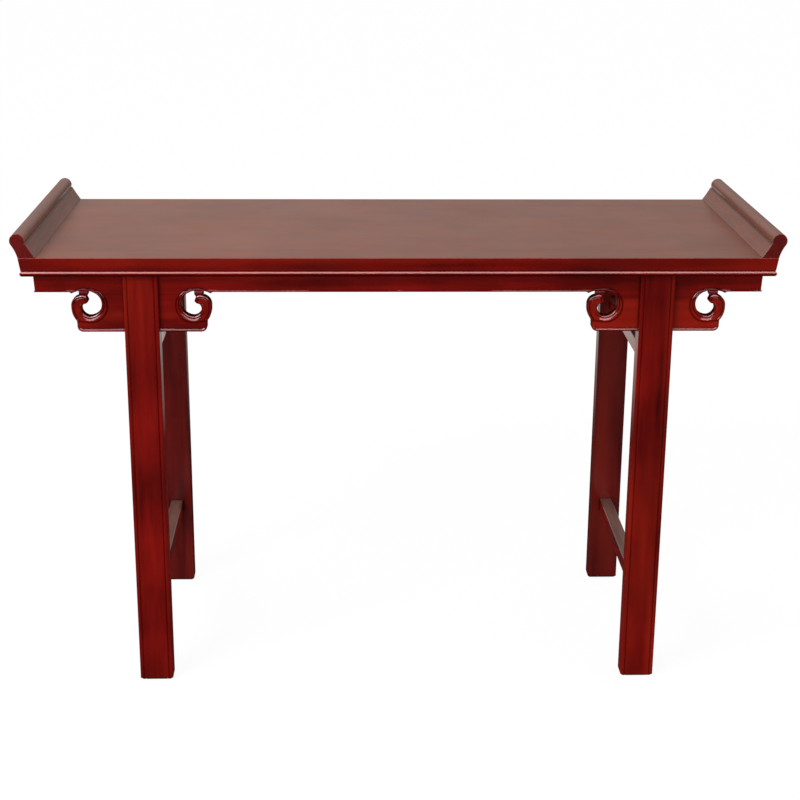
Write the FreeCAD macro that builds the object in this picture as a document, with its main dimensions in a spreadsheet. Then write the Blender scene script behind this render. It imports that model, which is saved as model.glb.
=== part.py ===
import FreeCAD, Part
import os

import Sketcher
from FreeCAD import Placement, Rotation, Vector

# Altar table with everted ends, in millimetres.
# +X runs to the right along the top, the front faces -Y, +Z is up.
# The origin is on the floor under the middle of the table.

SIZES = {
    # Top frame and its moulded edge
    "top_length": 1300,
    "top_depth": 510,
    "top_height": 805,
    "top_thickness": 33,
    "rail_width": 62,
    "band_height": 23.5,
    "band_lean": 3,
    "quirk_height": 1.2,
    "quirk_depth": 3.8,
    "bead_inset": 1,
    # Mitre tenon of a top corner
    "mitre_tenon_thickness": 9,
    "mitre_tenon_width": 24,
    "mitre_tenon_rise": 5,
    "mitre_tenon_cover": 14,
    # Panel boards and their tongues
    "panel_thickness": 15,
    "panel_gap": 0.3,
    "tongue_drop": 4,
    "tongue_thickness": 5,
    "tongue_length": 8,
    "groove_spare": 1,
    # Cross battens under the panel
    "batten_spacing": 290,
    "batten_width": 30,
    "batten_rise": 2,
    "dovetail_depth": 5,
    "dovetail_flare": 3,
    "batten_tenon_width": 20,
    "batten_tenon_thickness": 6,
    "batten_tenon_length": 12,
    # Everted flange on each end of the top
    "flange_base": 30,
    "flange_rise": 42,
    "flange_overhang": 12.3,
    "flange_tongue_width": 8,
    "flange_tongue_depth": 7,
    "flange_tongue_stop": 25,
    # Legs
    "leg_overhang": 203,
    "leg_inset": 15,
    "leg_width": 60,
    "leg_depth": 34,
    "leg_arris": 2,
    "leg_bead_width": 7,
    "leg_groove_depth": 1.5,
    "leg_groove_half_width": 1.4,
    "foot_chamfer": 4,
    "front_cheek": 9,
    "leg_tenon_width": 36,
    "leg_tenon_length": 14,
    "leg_tenon_shoulder": 3,
    # Aprons, and the splines in their mitred corners
    "apron_height": 33,
    "apron_thickness": 14,
    "apron_inset": 19.5,
    "apron_lean": 1.4,
    "apron_bead_height": 3,
    "apron_cove_height": 1.5,
    "spline_thickness": 3,
    "spline_width": 10,
    "spline_height": 24,
    # Spandrel boards with their scrolls
    "spandrel_height": 70.6,
    "wing_length": 90.8,
    "scroll_relief": 1.5,
    "foot_bead_height": 4,
    "foot_bead_groove": 1.2,
    "foot_bead_end": 14,
    # Side stretchers
    "upper_stretcher_thickness": 20,
    "lower_stretcher_thickness": 24.5,
    "stretcher_height": 28,
    "stretcher_arris": 2,
    "upper_stretcher_height": 588.5,
    "lower_stretcher_height": 153,
    "stretcher_tenon_thickness": 9,
    "stretcher_tenon_height": 18,
    "stretcher_tenon_length": 20,
    # Play of every fit, spare depth of every mortise, overrun of every cut
    "fit": 0.2,
    "mortise_spare": 1,
    "overrun": 5,
}

# Formulas that several pieces share
HALF_LENGTH = "(Size.top_length / 2)"
HALF_DEPTH = "(Size.top_depth / 2)"
TOP = "Size.top_height"
UNDERSIDE = "(Size.top_height - Size.top_thickness)"
PANEL_UNDERSIDE = "(Size.top_height - Size.panel_thickness)"
TONGUE_TOP = "(Size.top_height - Size.tongue_drop)"
TONGUE_BOTTOM = "(Size.top_height - Size.tongue_drop - Size.tongue_thickness)"
MITRE_TENON_BOTTOM = f"({UNDERSIDE} + Size.mitre_tenon_rise)"
BATTEN_BOTTOM = f"({UNDERSIDE} + Size.batten_rise)"
BATTEN_TENON_BOTTOM = f"(({PANEL_UNDERSIDE} + {BATTEN_BOTTOM}) / 2 - Size.batten_tenon_thickness / 2)"
APRON_BOTTOM = f"({UNDERSIDE} - Size.apron_height)"
SPANDREL_BOTTOM = f"({APRON_BOTTOM} - Size.spandrel_height)"
APRON_END = f"({HALF_LENGTH} - Size.apron_inset)"
LEG_X = f"({HALF_LENGTH} - Size.leg_overhang)"
LEG_FRONT = f"({HALF_DEPTH} - Size.leg_inset)"
LEG_MIDDLE = f"({LEG_FRONT} - Size.leg_depth / 2)"
LEG_BACK = f"({LEG_FRONT} - Size.leg_depth)"
BOARD_FRONT = f"({LEG_FRONT} - Size.front_cheek - Size.fit)"
BOARD_BACK = f"({BOARD_FRONT} - Size.apron_thickness)"
PANEL_HALF_LENGTH = f"({HALF_LENGTH} - Size.rail_width - Size.panel_gap)"
PANEL_HALF_DEPTH = f"({HALF_DEPTH} - Size.rail_width - Size.panel_gap)"
BOARD_HALF_WIDTH = f"({PANEL_HALF_DEPTH} / 3)"

# Outlines of a spandrel wing. Along the wing a share counts from the leg's side to the wing's tip,
# and upward it counts from the wing's bottom to the apron. A third entry is a point on the way to
# the next corner, which makes that stretch an arc.
WING_FOOT_SHARES = [
    (0.804, 0.000, (0.880, 0.055)),
    (0.903, 0.170),
]
SCROLL_OUTSIDE_SHARES = [
    (0.908, 0.278, (0.983, 0.455)),
    (1.000, 0.640, (0.962, 0.818)),
    (0.848, 0.912),
]
POST_SHARES = [
    (0.848, 1.031),
    (0.672, 1.031),
    (0.672, 0.945),
    (0.705, 0.880),
    (0.672, 0.783, (0.707, 0.725)),
    (0.760, 0.702, (0.797, 0.640)),
]
HOLE_SHARES = [
    (0.803, 0.560, (0.752, 0.448)),
    (0.660, 0.395, (0.424, 0.700)),
    (0.590, 1.000),
]
# What stands proud of a wing's face: the bead round the hole, the rim outside that bead, and the
# bead over the hook
HOLE_BEAD_SHARES = [
    (0.477, 1.000, (0.369, 0.705)),
    (0.663, 0.324, (0.774, 0.401)),
    (0.828, 0.531),
] + HOLE_SHARES
RIM_SHARES = [
    (0.374, 0.850, (0.422, 0.359)),
    (0.644, 0.241, (0.765, 0.290)),
    (0.842, 0.446, (0.751, 0.329)),
    (0.644, 0.289, (0.449, 0.393)),
]
HOOK_BEAD_SHARES = SCROLL_OUTSIDE_SHARES + [
    (0.705, 0.880),
    (0.672, 0.783),
    (0.707, 0.725),
    (0.743, 0.822, (0.892, 0.833)),
    (0.960, 0.640, (0.950, 0.460)),
]
# Underside of the apron over one wing: a shallow arch, then a small pointed lobe, and the rim above
APRON_ARCH_SHARES = [
    (0.590, 0.000),
    (0.640, 0.031),
    (0.880, 0.031),
    (0.990, -0.032),
]
APRON_LOBE_END_SHARES = (1.057, 0.000)
APRON_RIM_SHARES = (0.477, 0.000, (0.720, 0.092))
# Section of the flange. Along the base a share counts from the inner foot outward, in widths of the
# base and its overhang together, and upward it counts in the flange's rise.
FLANGE_SHARES = [
    (0.000, 0.000),
    (0.709, 0.000, (0.820, 0.310)),
    (0.968, 0.560, (0.700, 1.000)),
    (0.414, 0.583),
    (0.362, 0.571, (0.208, 0.310)),
]


document = FreeCAD.newDocument("AltarTable")
sheet = document.addObject("Spreadsheet::Sheet", "Size")
for row, (name, number) in enumerate(SIZES.items(), start=1):
    sheet.set(f"A{row}", name)
    sheet.set(f"B{row}", str(number))
    sheet.setAlias(f"B{row}", name)
document.recompute()


def worked_out(formula):
    """The number that a formula of the sheet's sizes gives."""
    return float(sheet.evalExpression(formula))


def new_body(label):
    """An empty body with its own name."""
    body = document.addObject("PartDesign::Body", label)
    body.Label = label
    return body


def new_sketch(body, name, plane, offset="0"):
    """A sketch parallel to one of the body's origin planes, moved along that plane's normal."""
    sketch = body.newObject("Sketcher::SketchObject", name)
    support = next(item for item in body.Origin.OriginFeatures if item.Role == plane)
    sketch.AttachmentSupport = [(support, "")]
    sketch.MapMode = "FlatFace"
    sketch.setExpression("AttachmentOffset.Base.z", offset)
    return sketch


def draw(sketch, corners):
    """Adds a closed outline to a sketch and binds each of its corners to two formulas.

    A corner is (x, y), or (x, y, (x, y)) where an arc through the second point leads to the next one.
    """
    first_edge = len(sketch.Geometry)
    places = [Vector(worked_out(corner[0]), worked_out(corner[1]), 0) for corner in corners]
    edges = []
    ends = []
    arcs = []
    for index, corner in enumerate(corners):
        start = places[index]
        finish = places[(index + 1) % len(corners)]
        if len(corner) == 2:
            edges.append(Part.LineSegment(start, finish))
            ends.append((1, 2))
            continue
        way = Vector(worked_out(corner[2][0]), worked_out(corner[2][1]), 0)
        arcs.append((first_edge + index, corner[2], way))
        if (way - start).cross(finish - start).z > 0:
            edges.append(Part.Arc(start, way, finish))
            ends.append((1, 2))
        else:
            edges.append(Part.Arc(finish, way, start))
            ends.append((2, 1))
    sketch.addGeometry(edges, False)
    for index, corner in enumerate(corners):
        following = (index + 1) % len(corners)
        sketch.addConstraint(Sketcher.Constraint(
            "Coincident", first_edge + index, ends[index][1], first_edge + following, ends[following][0]))
        bind_point(sketch, first_edge + index, ends[index][0], corner[0], corner[1])
    for edge, formulas, way in arcs:
        point = sketch.addGeometry(Part.Point(way), True)
        bind_point(sketch, point, 1, formulas[0], formulas[1])
        sketch.addConstraint(Sketcher.Constraint("PointOnObject", point, 1, edge))


def bind_point(sketch, edge, end, across, up):
    """Holds one point of a sketch at two formulas, measured from the sketch's origin."""
    for kind, formula in (("DistanceX", across), ("DistanceY", up)):
        index = sketch.addConstraint(Sketcher.Constraint(kind, -1, 1, edge, end, worked_out(formula)))
        sketch.setExpression(f"Constraints[{index}]", formula)


def box_corners(low_x, high_x, low_y, high_y):
    """The four corners of a rectangle."""
    return [(low_x, low_y), (high_x, low_y), (high_x, high_y), (low_x, high_y)]


def eased_corners(half_width, bottom, top, radius):
    """A rectangle astride the sketch's upright axis, with its four corners rounded."""
    inset = f"(1 - cos(45)) * {radius}"
    corners = []
    for side, end, sign in ((-1, bottom, 1), (1, bottom, 1), (1, top, -1), (-1, top, -1)):
        upright = (f"{side} * {half_width}", f"{end} + {sign} * {radius}")
        level = (f"{side} * ({half_width} - {radius})", end)
        way = (f"{side} * ({half_width} - {inset})", f"{end} + {sign} * {inset}")
        if side * sign < 0:
            corners += [upright + (way,), level]
        else:
            corners += [level + (way,), upright]
    return corners


def pad(body, sketch, length, symmetric=False, reverse=False):
    """Material along the sketch's normal."""
    feature = body.newObject("PartDesign::Pad", sketch.Name + "Pad")
    feature.Profile = sketch
    feature.setExpression("Length", length)
    feature.SideType = "Symmetric" if symmetric else "One side"
    feature.Reversed = reverse
    document.recompute()
    return feature


def pocket(body, sketch, depth=None, reverse=False):
    """A cut against the sketch's normal, or through everything both ways where it has no depth."""
    before = body.Shape.Volume
    feature = body.newObject("PartDesign::Pocket", sketch.Name + "Cut")
    feature.Profile = sketch
    if depth is None:
        feature.Type = "ThroughAll"
        feature.SideType = "Symmetric"
    else:
        feature.setExpression("Length", depth)
        feature.Reversed = reverse
    document.recompute()
    if not body.Shape.Volume < before:
        raise RuntimeError(f"{feature.Name} cuts nothing")
    return feature


def place(body, across="0", back="0", turned=False):
    """Moves a body to its place, turned half round where it is the twin of the piece opposite."""
    body.Placement = Placement(Vector(), Rotation(Vector(0, 0, 1), 180 if turned else 0))
    body.setExpression("Placement.Base.x", across)
    body.setExpression("Placement.Base.y", back)


def rail_section(edge, side):
    """Section of a top rail: moulded outer edge, groove for the panel in the inner edge.

    side is -1 for a rail on the negative side of its axis and 1 for one on the positive side.
    """
    def inward(inset):
        return f"{side} * ({edge} - ({inset}))"

    bead_top = f"({TOP} - Size.band_height - Size.quirk_height)"
    bead_way = (inward("Size.bead_inset"), f"({bead_top} + {UNDERSIDE}) / 2")
    groove_back = "Size.rail_width - Size.tongue_length - Size.groove_spare"
    groove_bottom = f"{TONGUE_BOTTOM} - Size.fit"
    groove_top = f"{TONGUE_TOP} + Size.fit"
    return [
        (inward("0"), TOP),
        (inward("Size.band_lean"), f"{TOP} - Size.band_height"),
        (inward("Size.quirk_depth"), bead_top, bead_way),
        (inward("Size.quirk_depth"), UNDERSIDE),
        (inward("Size.rail_width"), UNDERSIDE),
        (inward("Size.rail_width"), groove_bottom),
        (inward(groove_back), groove_bottom),
        (inward(groove_back), groove_top),
        (inward("Size.rail_width"), groove_top),
        (inward("Size.rail_width"), TOP),
    ]


def mitre_waste(corner_x, corner_y, side_x, side_y, reach, lengthwise):
    """The triangle that a mitre takes off the end of a member that runs lengthwise, or else across."""
    outer_x = f"{side_x} * ({corner_x} + Size.overrun)"
    outer_y = f"{side_y} * ({corner_y} + Size.overrun)"
    inner_x = f"{side_x} * ({corner_x} - {reach} - Size.overrun)"
    inner_y = f"{side_y} * ({corner_y} - {reach} - Size.overrun)"
    far = (outer_x, inner_y) if lengthwise else (inner_x, outer_y)
    return [(outer_x, outer_y), far, (inner_x, inner_y)]


def mitre_tenon(side_x, side_y, play):
    """Plan of the tenon in one top corner, or of its mortise where there is play round it."""
    middle = f"({HALF_DEPTH} - Size.rail_width / 2 - Size.mitre_tenon_rise)"
    ends = (f"{side_x} * ({HALF_LENGTH} - Size.rail_width - Size.overrun)",
            f"{side_x} * ({HALF_LENGTH} - Size.mitre_tenon_cover + {play})")
    sides = (f"{side_y} * ({middle} - Size.mitre_tenon_width / 2 - {play})",
             f"{side_y} * ({middle} + Size.mitre_tenon_width / 2 + {play})")
    return box_corners(*ends, *sides)


def long_rail(label, turned):
    """Front or back member of the top frame: mitred, tenoned into the end rails, mortised below."""
    body = new_body(label)
    section = new_sketch(body, label + "_section", "YZ_Plane")
    draw(section, rail_section(HALF_DEPTH, -1))
    pad(body, section, "Size.top_length", symmetric=True)

    mitres = new_sketch(body, label + "_mitres", "XY_Plane")
    for side in (-1, 1):
        draw(mitres, mitre_waste(HALF_LENGTH, HALF_DEPTH, side, -1, "Size.rail_width", lengthwise=True))
    pocket(body, mitres)

    tenons = new_sketch(body, label + "_tenons", "XY_Plane", MITRE_TENON_BOTTOM)
    for side in (-1, 1):
        draw(tenons, mitre_tenon(side, -1, "0"))
    pad(body, tenons, "Size.mitre_tenon_thickness")

    sockets = new_sketch(body, label + "_leg_mortises", "XY_Plane", UNDERSIDE)
    for side in (-1, 1):
        leg_x = f"{side} * {LEG_X}"
        for low, high in leg_tenon_spans(f"-{LEG_MIDDLE}", "Size.fit"):
            draw(sockets, box_corners(f"{leg_x} - Size.leg_tenon_width / 2 - Size.fit",
                                      f"{leg_x} + Size.leg_tenon_width / 2 + Size.fit", low, high))
    pocket(body, sockets, "Size.leg_tenon_length + Size.mortise_spare", reverse=True)

    notches = new_sketch(body, label + "_batten_mortises", "XZ_Plane", f"{HALF_DEPTH} - Size.rail_width")
    for share in (-1, 0, 1):
        draw(notches, batten_tenon(share, "Size.fit"))
    pocket(body, notches, "Size.batten_tenon_length + Size.mortise_spare", reverse=True)
    place(body, turned=turned)
    return body


def end_rail(label, turned):
    """Left or right member of the top frame: mitred, mortised, grooved on top for its flange."""
    body = new_body(label)
    section = new_sketch(body, label + "_section", "XZ_Plane")
    draw(section, rail_section(HALF_LENGTH, 1))
    pad(body, section, "Size.top_depth", symmetric=True)

    mitres = new_sketch(body, label + "_mitres", "XY_Plane")
    for side in (-1, 1):
        draw(mitres, mitre_waste(HALF_LENGTH, HALF_DEPTH, 1, side, "Size.rail_width", lengthwise=False))
    pocket(body, mitres)

    mortises = new_sketch(body, label + "_mortises", "XY_Plane", f"{MITRE_TENON_BOTTOM} - Size.fit")
    for side in (-1, 1):
        draw(mortises, mitre_tenon(1, side, "Size.fit"))
    pocket(body, mortises, "Size.mitre_tenon_thickness + 2 * Size.fit", reverse=True)

    groove = new_sketch(body, label + "_flange_groove", "XY_Plane", TOP)
    draw(groove, flange_tongue("Size.fit"))
    pocket(body, groove, "Size.flange_tongue_depth + Size.mortise_spare")
    place(body, turned=turned)
    return body


def flange_tongue(play):
    """Plan of the tongue under a flange, or of its groove where there is play round it."""
    middle = f"({HALF_LENGTH} - Size.flange_base / 2)"
    half_length = f"({HALF_DEPTH} - Size.flange_tongue_stop + {play})"
    return box_corners(f"{middle} - Size.flange_tongue_width / 2 - {play}",
                       f"{middle} + Size.flange_tongue_width / 2 + {play}",
                       f"-{half_length}", half_length)


def flange(label, turned):
    """Everted end of the top: a flared foot, a quirk inside and a rolled edge."""
    body = new_body(label)

    def across(share):
        return f"{HALF_LENGTH} - Size.flange_base + {share} * (Size.flange_base + Size.flange_overhang)"

    def up(share):
        return f"{TOP} + {share} * Size.flange_rise"

    section = new_sketch(body, label + "_section", "XZ_Plane")
    draw(section, outline_from_shares(FLANGE_SHARES, across, up))
    pad(body, section, "Size.top_depth", symmetric=True)

    tongue = new_sketch(body, label + "_tongue", "XY_Plane", TOP)
    draw(tongue, flange_tongue("0"))
    pad(body, tongue, "Size.flange_tongue_depth", reverse=True)
    place(body, turned=turned)
    return body


def outline_from_shares(shares, across, up):
    """Turns a table of shares into corners with formulas."""
    corners = []
    for corner in shares:
        ends = (across(corner[0]), up(corner[1]))
        if len(corner) == 3:
            ends = ends + ((across(corner[2][0]), up(corner[2][1])),)
        corners.append(ends)
    return corners


def board_section(middle, edge_kinds):
    """Section of a panel board, with a tongue or a groove along each of its two edges."""
    left = [(f"{middle} - {BOARD_HALF_WIDTH}", TOP)]
    right = [(f"{middle} + {BOARD_HALF_WIDTH}", TOP)]
    for corners, side, kind in ((left, "-", edge_kinds[0]), (right, "+", edge_kinds[1])):
        edge = f"{middle} {side} {BOARD_HALF_WIDTH}"
        if kind == "tongue":
            tip = f"{edge} {side} Size.tongue_length"
            top = TONGUE_TOP
            bottom = TONGUE_BOTTOM
        else:
            tip = f"{middle} {side} ({BOARD_HALF_WIDTH} - Size.tongue_length - Size.groove_spare)"
            top = f"{TONGUE_TOP} + Size.fit"
            bottom = f"{TONGUE_BOTTOM} - Size.fit"
        corners += [(edge, top), (tip, top), (tip, bottom), (edge, bottom), (edge, PANEL_UNDERSIDE)]
    return left + right[::-1]


def panel_board(label, place_share, edge_kinds):
    """One lengthwise board of the panel, with end tongues and a dovetail slot for each batten."""
    body = new_body(label)
    middle = f"{place_share} * 2 * {BOARD_HALF_WIDTH}"
    section = new_sketch(body, label + "_section", "YZ_Plane")
    draw(section, board_section(middle, edge_kinds))
    pad(body, section, f"2 * {PANEL_HALF_LENGTH}", symmetric=True)

    reaches = []
    changes = {"tongue": "+ Size.tongue_length", "groove": "- Size.tongue_length - Size.groove_spare"}
    for kind in edge_kinds:
        reaches.append(f"({BOARD_HALF_WIDTH} {changes[kind]})")
    tongues = new_sketch(body, label + "_end_tongues", "XY_Plane", TONGUE_BOTTOM)
    half_length = f"({PANEL_HALF_LENGTH} + Size.tongue_length)"
    draw(tongues, box_corners(f"-{half_length}", half_length,
                              f"{middle} - {reaches[0]}", f"{middle} + {reaches[1]}"))
    pad(body, tongues, "Size.tongue_thickness")

    slots = new_sketch(body, label + "_batten_slots", "XZ_Plane")
    for share in (-1, 0, 1):
        draw(slots, batten_dovetail(share, "Size.fit", f"{PANEL_UNDERSIDE} - Size.overrun"))
    pocket(body, slots)
    return body


def batten_dovetail(share, play, bottom):
    """Section of a batten's dovetail, or of the slot that it slides in where there is play."""
    middle = f"{share} * Size.batten_spacing"
    neck = f"(Size.batten_width / 2 - Size.dovetail_flare + {play})"
    crown = f"(Size.batten_width / 2 + {play})"
    top = f"{PANEL_UNDERSIDE} + Size.dovetail_depth + {play}"
    return [
        (f"{middle} - {neck}", bottom),
        (f"{middle} + {neck}", bottom),
        (f"{middle} + {neck}", PANEL_UNDERSIDE),
        (f"{middle} + {crown}", top),
        (f"{middle} - {crown}", top),
        (f"{middle} - {neck}", PANEL_UNDERSIDE),
    ]


def batten_tenon(share, play):
    """End view of a batten's tenon, or of its mortise where there is play round it."""
    middle = f"{share} * Size.batten_spacing"
    return box_corners(f"{middle} - Size.batten_tenon_width / 2 - {play}",
                       f"{middle} + Size.batten_tenon_width / 2 + {play}",
                       f"{BATTEN_TENON_BOTTOM} - {play}",
                       f"{BATTEN_TENON_BOTTOM} + Size.batten_tenon_thickness + {play}")


def batten(label, share):
    """Cross batten that slides under the panel and is tenoned into both long rails."""
    body = new_body(label)
    middle = f"{share} * Size.batten_spacing"
    clear = f"(2 * ({HALF_DEPTH} - Size.rail_width))"
    bar = new_sketch(body, label + "_bar", "XZ_Plane")
    draw(bar, box_corners(f"{middle} - Size.batten_width / 2", f"{middle} + Size.batten_width / 2",
                          BATTEN_BOTTOM, PANEL_UNDERSIDE))
    pad(body, bar, clear, symmetric=True)

    dovetail = new_sketch(body, label + "_dovetail", "XZ_Plane")
    draw(dovetail, batten_dovetail(share, "0", f"({PANEL_UNDERSIDE} + {BATTEN_BOTTOM}) / 2"))
    pad(body, dovetail, f"2 * {PANEL_HALF_DEPTH}", symmetric=True)

    tenon = new_sketch(body, label + "_tenon", "XZ_Plane")
    draw(tenon, batten_tenon(share, "0"))
    pad(body, tenon, f"{clear} + 2 * Size.batten_tenon_length", symmetric=True)
    return body


def leg_tenon_spans(middle, play):
    """Front and back limits of the tenons on the two cheeks of a leg whose middle is given."""
    outer = f"{middle} - Size.leg_depth / 2"
    inner = f"{middle} + Size.leg_depth / 2"
    slot_back = f"{outer} + Size.front_cheek + Size.apron_thickness + 2 * Size.fit"
    return [
        (f"{outer} + Size.leg_tenon_shoulder - {play}", f"{outer} + Size.front_cheek + {play}"),
        (f"{slot_back} - {play}", f"{inner} - Size.leg_tenon_shoulder + {play}"),
    ]


def leg_section():
    """Plan of a leg: eased front corners, and a groove that sets a bead off along each front edge."""
    half_width = "Size.leg_width / 2"
    front = "Size.leg_depth / 2"

    def side_corners(side):
        eased = f"{side} * ({half_width} - Size.leg_arris)"
        way = "(1 - cos(45)) * Size.leg_arris"
        bead = f"({half_width} - Size.leg_bead_width)"
        return [
            (f"{side} * {half_width}", front),
            (f"{side} * {half_width}", f"-({front} - Size.leg_arris)"),
            (eased, f"-{front}"),
            (f"{side} * ({bead} + Size.leg_groove_half_width)", f"-{front}"),
            (f"{side} * {bead}", f"-{front} + Size.leg_groove_depth"),
            (f"{side} * ({bead} - Size.leg_groove_half_width)", f"-{front}"),
        ], (f"{side} * ({half_width} - {way})", f"-({front} - {way})")

    left, left_way = side_corners(-1)
    right, right_way = side_corners(1)
    left[1] = left[1] + (left_way,)
    right[2] = right[2] + (right_way,)
    return left + right[::-1]


def leg(label, side, turned):
    """Leg with a forked top, a tenon on each cheek, two stretcher mortises and an eased foot."""
    body = new_body(label)
    half_width = "Size.leg_width / 2"
    half_depth = "Size.leg_depth / 2"
    section = new_sketch(body, label + "_section", "XY_Plane")
    draw(section, leg_section())
    pad(body, section, UNDERSIDE)

    fork = new_sketch(body, label + "_fork", "YZ_Plane")
    slot_front = f"-{half_depth} + Size.front_cheek"
    draw(fork, box_corners(slot_front, f"{slot_front} + Size.apron_thickness + 2 * Size.fit",
                           SPANDREL_BOTTOM, f"{UNDERSIDE} + Size.overrun"))
    pocket(body, fork)

    tenons = new_sketch(body, label + "_tenons", "XY_Plane", UNDERSIDE)
    for low, high in leg_tenon_spans("0", "0"):
        draw(tenons, box_corners("-Size.leg_tenon_width / 2", "Size.leg_tenon_width / 2", low, high))
    pad(body, tenons, "Size.leg_tenon_length")

    mortises = new_sketch(body, label + "_stretcher_mortises", "XZ_Plane", f"-{half_depth}")
    for height in ("Size.upper_stretcher_height", "Size.lower_stretcher_height"):
        draw(mortises, stretcher_tenon("0", height, "Size.fit"))
    pocket(body, mortises, "Size.stretcher_tenon_length + Size.mortise_spare", reverse=True)

    for plane, reach in (("XZ_Plane", half_width), ("YZ_Plane", half_depth)):
        eased = new_sketch(body, f"{label}_foot_{plane[:1].lower()}", plane)
        for edge in (-1, 1):
            draw(eased, foot_waste(edge, reach))
        pocket(body, eased)
    place(body, f"{side} * {LEG_X}", f"{1 if turned else -1} * {LEG_MIDDLE}", turned)
    return body


def foot_waste(side, reach):
    """The triangle that the chamfer takes off one edge of a foot, run on past the wood."""
    outer = f"{side} * ({reach} + Size.overrun)"
    return [
        (outer, "-Size.overrun"),
        (f"{side} * ({reach} - Size.foot_chamfer - Size.overrun)", "-Size.overrun"),
        (outer, "Size.foot_chamfer + Size.overrun"),
    ]


def stretcher_tenon(middle, height, play):
    """End view of a stretcher's tenon, or of its mortise where there is play round it."""
    foot = f"({height} + Size.stretcher_height / 2 - Size.stretcher_tenon_height / 2)"
    return box_corners(f"{middle} - Size.stretcher_tenon_thickness / 2 - {play}",
                       f"{middle} + Size.stretcher_tenon_thickness / 2 + {play}",
                       f"{foot} - {play}", f"{foot} + Size.stretcher_tenon_height + {play}")


def stretcher(label, side, height, thickness):
    """Side stretcher between a front and a back leg, with a tenon at each end."""
    body = new_body(label)
    bar = new_sketch(body, label + "_bar", "XZ_Plane")
    draw(bar, eased_corners(f"{thickness} / 2", height,
                            f"({height} + Size.stretcher_height)", "Size.stretcher_arris"))
    pad(body, bar, f"2 * {LEG_BACK}", symmetric=True)

    tenon = new_sketch(body, label + "_tenon", "XZ_Plane")
    draw(tenon, stretcher_tenon("0", height, "0"))
    pad(body, tenon, f"2 * ({LEG_BACK} + Size.stretcher_tenon_length)", symmetric=True)
    place(body, f"{side} * {LEG_X}")
    return body


def apron_lean(side, face):
    """Section of the waste that leans an apron's face in, down to the bead along its lower edge."""
    bead_top = f"({APRON_BOTTOM} + Size.apron_bead_height)"
    outside = f"{side} * ({face} + Size.overrun)"
    return [
        (outside, UNDERSIDE),
        (f"{side} * {face}", UNDERSIDE),
        (f"{side} * ({face} - Size.apron_lean)", f"{bead_top} + Size.apron_cove_height"),
        (f"{side} * {face}", bead_top),
        (outside, bead_top),
    ]


def spline_plan(side_x, side_y, play):
    """Plan of the spline across one apron mitre, or of its slot where there is play round it."""
    middle_x = f"{side_x} * ({APRON_END} - Size.apron_thickness / 2)"
    middle_y = f"{side_y} * ({BOARD_FRONT} - Size.apron_thickness / 2)"
    half_width = f"(Size.spline_width / 2 + {play}) * cos(45)"
    half_thickness = f"(Size.spline_thickness / 2 + {play}) * cos(45)"
    corners = []
    for along, through in ((-1, -1), (1, -1), (1, 1), (-1, 1)):
        corners.append((
            f"{middle_x} + {side_x} * ({along} * {half_width} - {through} * {half_thickness})",
            f"{middle_y} + {side_y} * ({along} * {half_width} + {through} * {half_thickness})"))
    return corners


def apron_spline_slots(body, label, corners):
    """Slots in a mitred apron end, open at the top edge only."""
    slots = new_sketch(body, label + "_spline_slots", "XY_Plane", UNDERSIDE)
    for side_x, side_y in corners:
        draw(slots, spline_plan(side_x, side_y, "Size.fit"))
    pocket(body, slots, "Size.spline_height + Size.mortise_spare")


def over_wing(shares, leg_side, wing_side):
    """Corners on an apron from shares of the spandrel wing below it."""
    def across(share):
        reach = f"(Size.leg_width / 2 + {share} * Size.wing_length)"
        return f"{leg_side} * {LEG_X} + {wing_side} * {reach}"

    def up(share):
        return f"{APRON_BOTTOM} + {share} * Size.spandrel_height"

    return outline_from_shares(shares, across, up)


def apron_outline():
    """Front view of a long apron, with an arch and a lobe over each scroll."""
    corners = [(f"-{APRON_END}", UNDERSIDE), (f"-{APRON_END}", APRON_BOTTOM)]
    edge = APRON_ARCH_SHARES + [APRON_LOBE_END_SHARES]
    for leg_side in (-1, 1):
        corners += over_wing(edge[::-1], leg_side, -1)
        corners += over_wing(edge, leg_side, 1)
    return corners + [(APRON_END, APRON_BOTTOM), (APRON_END, UNDERSIDE)]


def long_apron(label, turned):
    """Front or back apron: it runs through two leg forks and is mitred at both ends."""
    body = new_body(label)
    outline = new_sketch(body, label + "_outline", "XZ_Plane", BOARD_BACK)
    draw(outline, apron_outline())
    pad(body, outline, "Size.apron_thickness")

    lean = new_sketch(body, label + "_lean", "YZ_Plane")
    draw(lean, apron_lean(-1, BOARD_FRONT))
    pocket(body, lean)

    mitres = new_sketch(body, label + "_mitres", "XY_Plane")
    for side in (-1, 1):
        draw(mitres, mitre_waste(APRON_END, BOARD_FRONT, side, -1, "Size.apron_thickness",
                                 lengthwise=True))
    pocket(body, mitres)
    apron_spline_slots(body, label, [(-1, -1), (1, -1)])

    rims = new_sketch(body, label + "_rims", "XZ_Plane", f"{BOARD_FRONT} - 2 * Size.apron_lean")
    for leg_side in (-1, 1):
        for wing_side in (-1, 1):
            draw(rims, over_wing([APRON_RIM_SHARES] + APRON_ARCH_SHARES[::-1], leg_side, wing_side))
    pad(body, rims, "2 * Size.apron_lean + Size.scroll_relief")
    place(body, turned=turned)
    return body


def end_apron(label, turned):
    """Short apron under one end of the top, mitred to the two long ones."""
    body = new_body(label)
    bar = new_sketch(body, label + "_section", "XZ_Plane")
    draw(bar, box_corners(f"{APRON_END} - Size.apron_thickness", APRON_END, APRON_BOTTOM, UNDERSIDE))
    pad(body, bar, f"2 * {BOARD_FRONT}", symmetric=True)

    lean = new_sketch(body, label + "_lean", "XZ_Plane")
    draw(lean, apron_lean(1, APRON_END))
    pocket(body, lean)

    mitres = new_sketch(body, label + "_mitres", "XY_Plane")
    for side in (-1, 1):
        draw(mitres, mitre_waste(APRON_END, BOARD_FRONT, 1, side, "Size.apron_thickness",
                                 lengthwise=False))
    pocket(body, mitres)
    apron_spline_slots(body, label, [(1, -1), (1, 1)])
    place(body, turned=turned)
    return body


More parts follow.
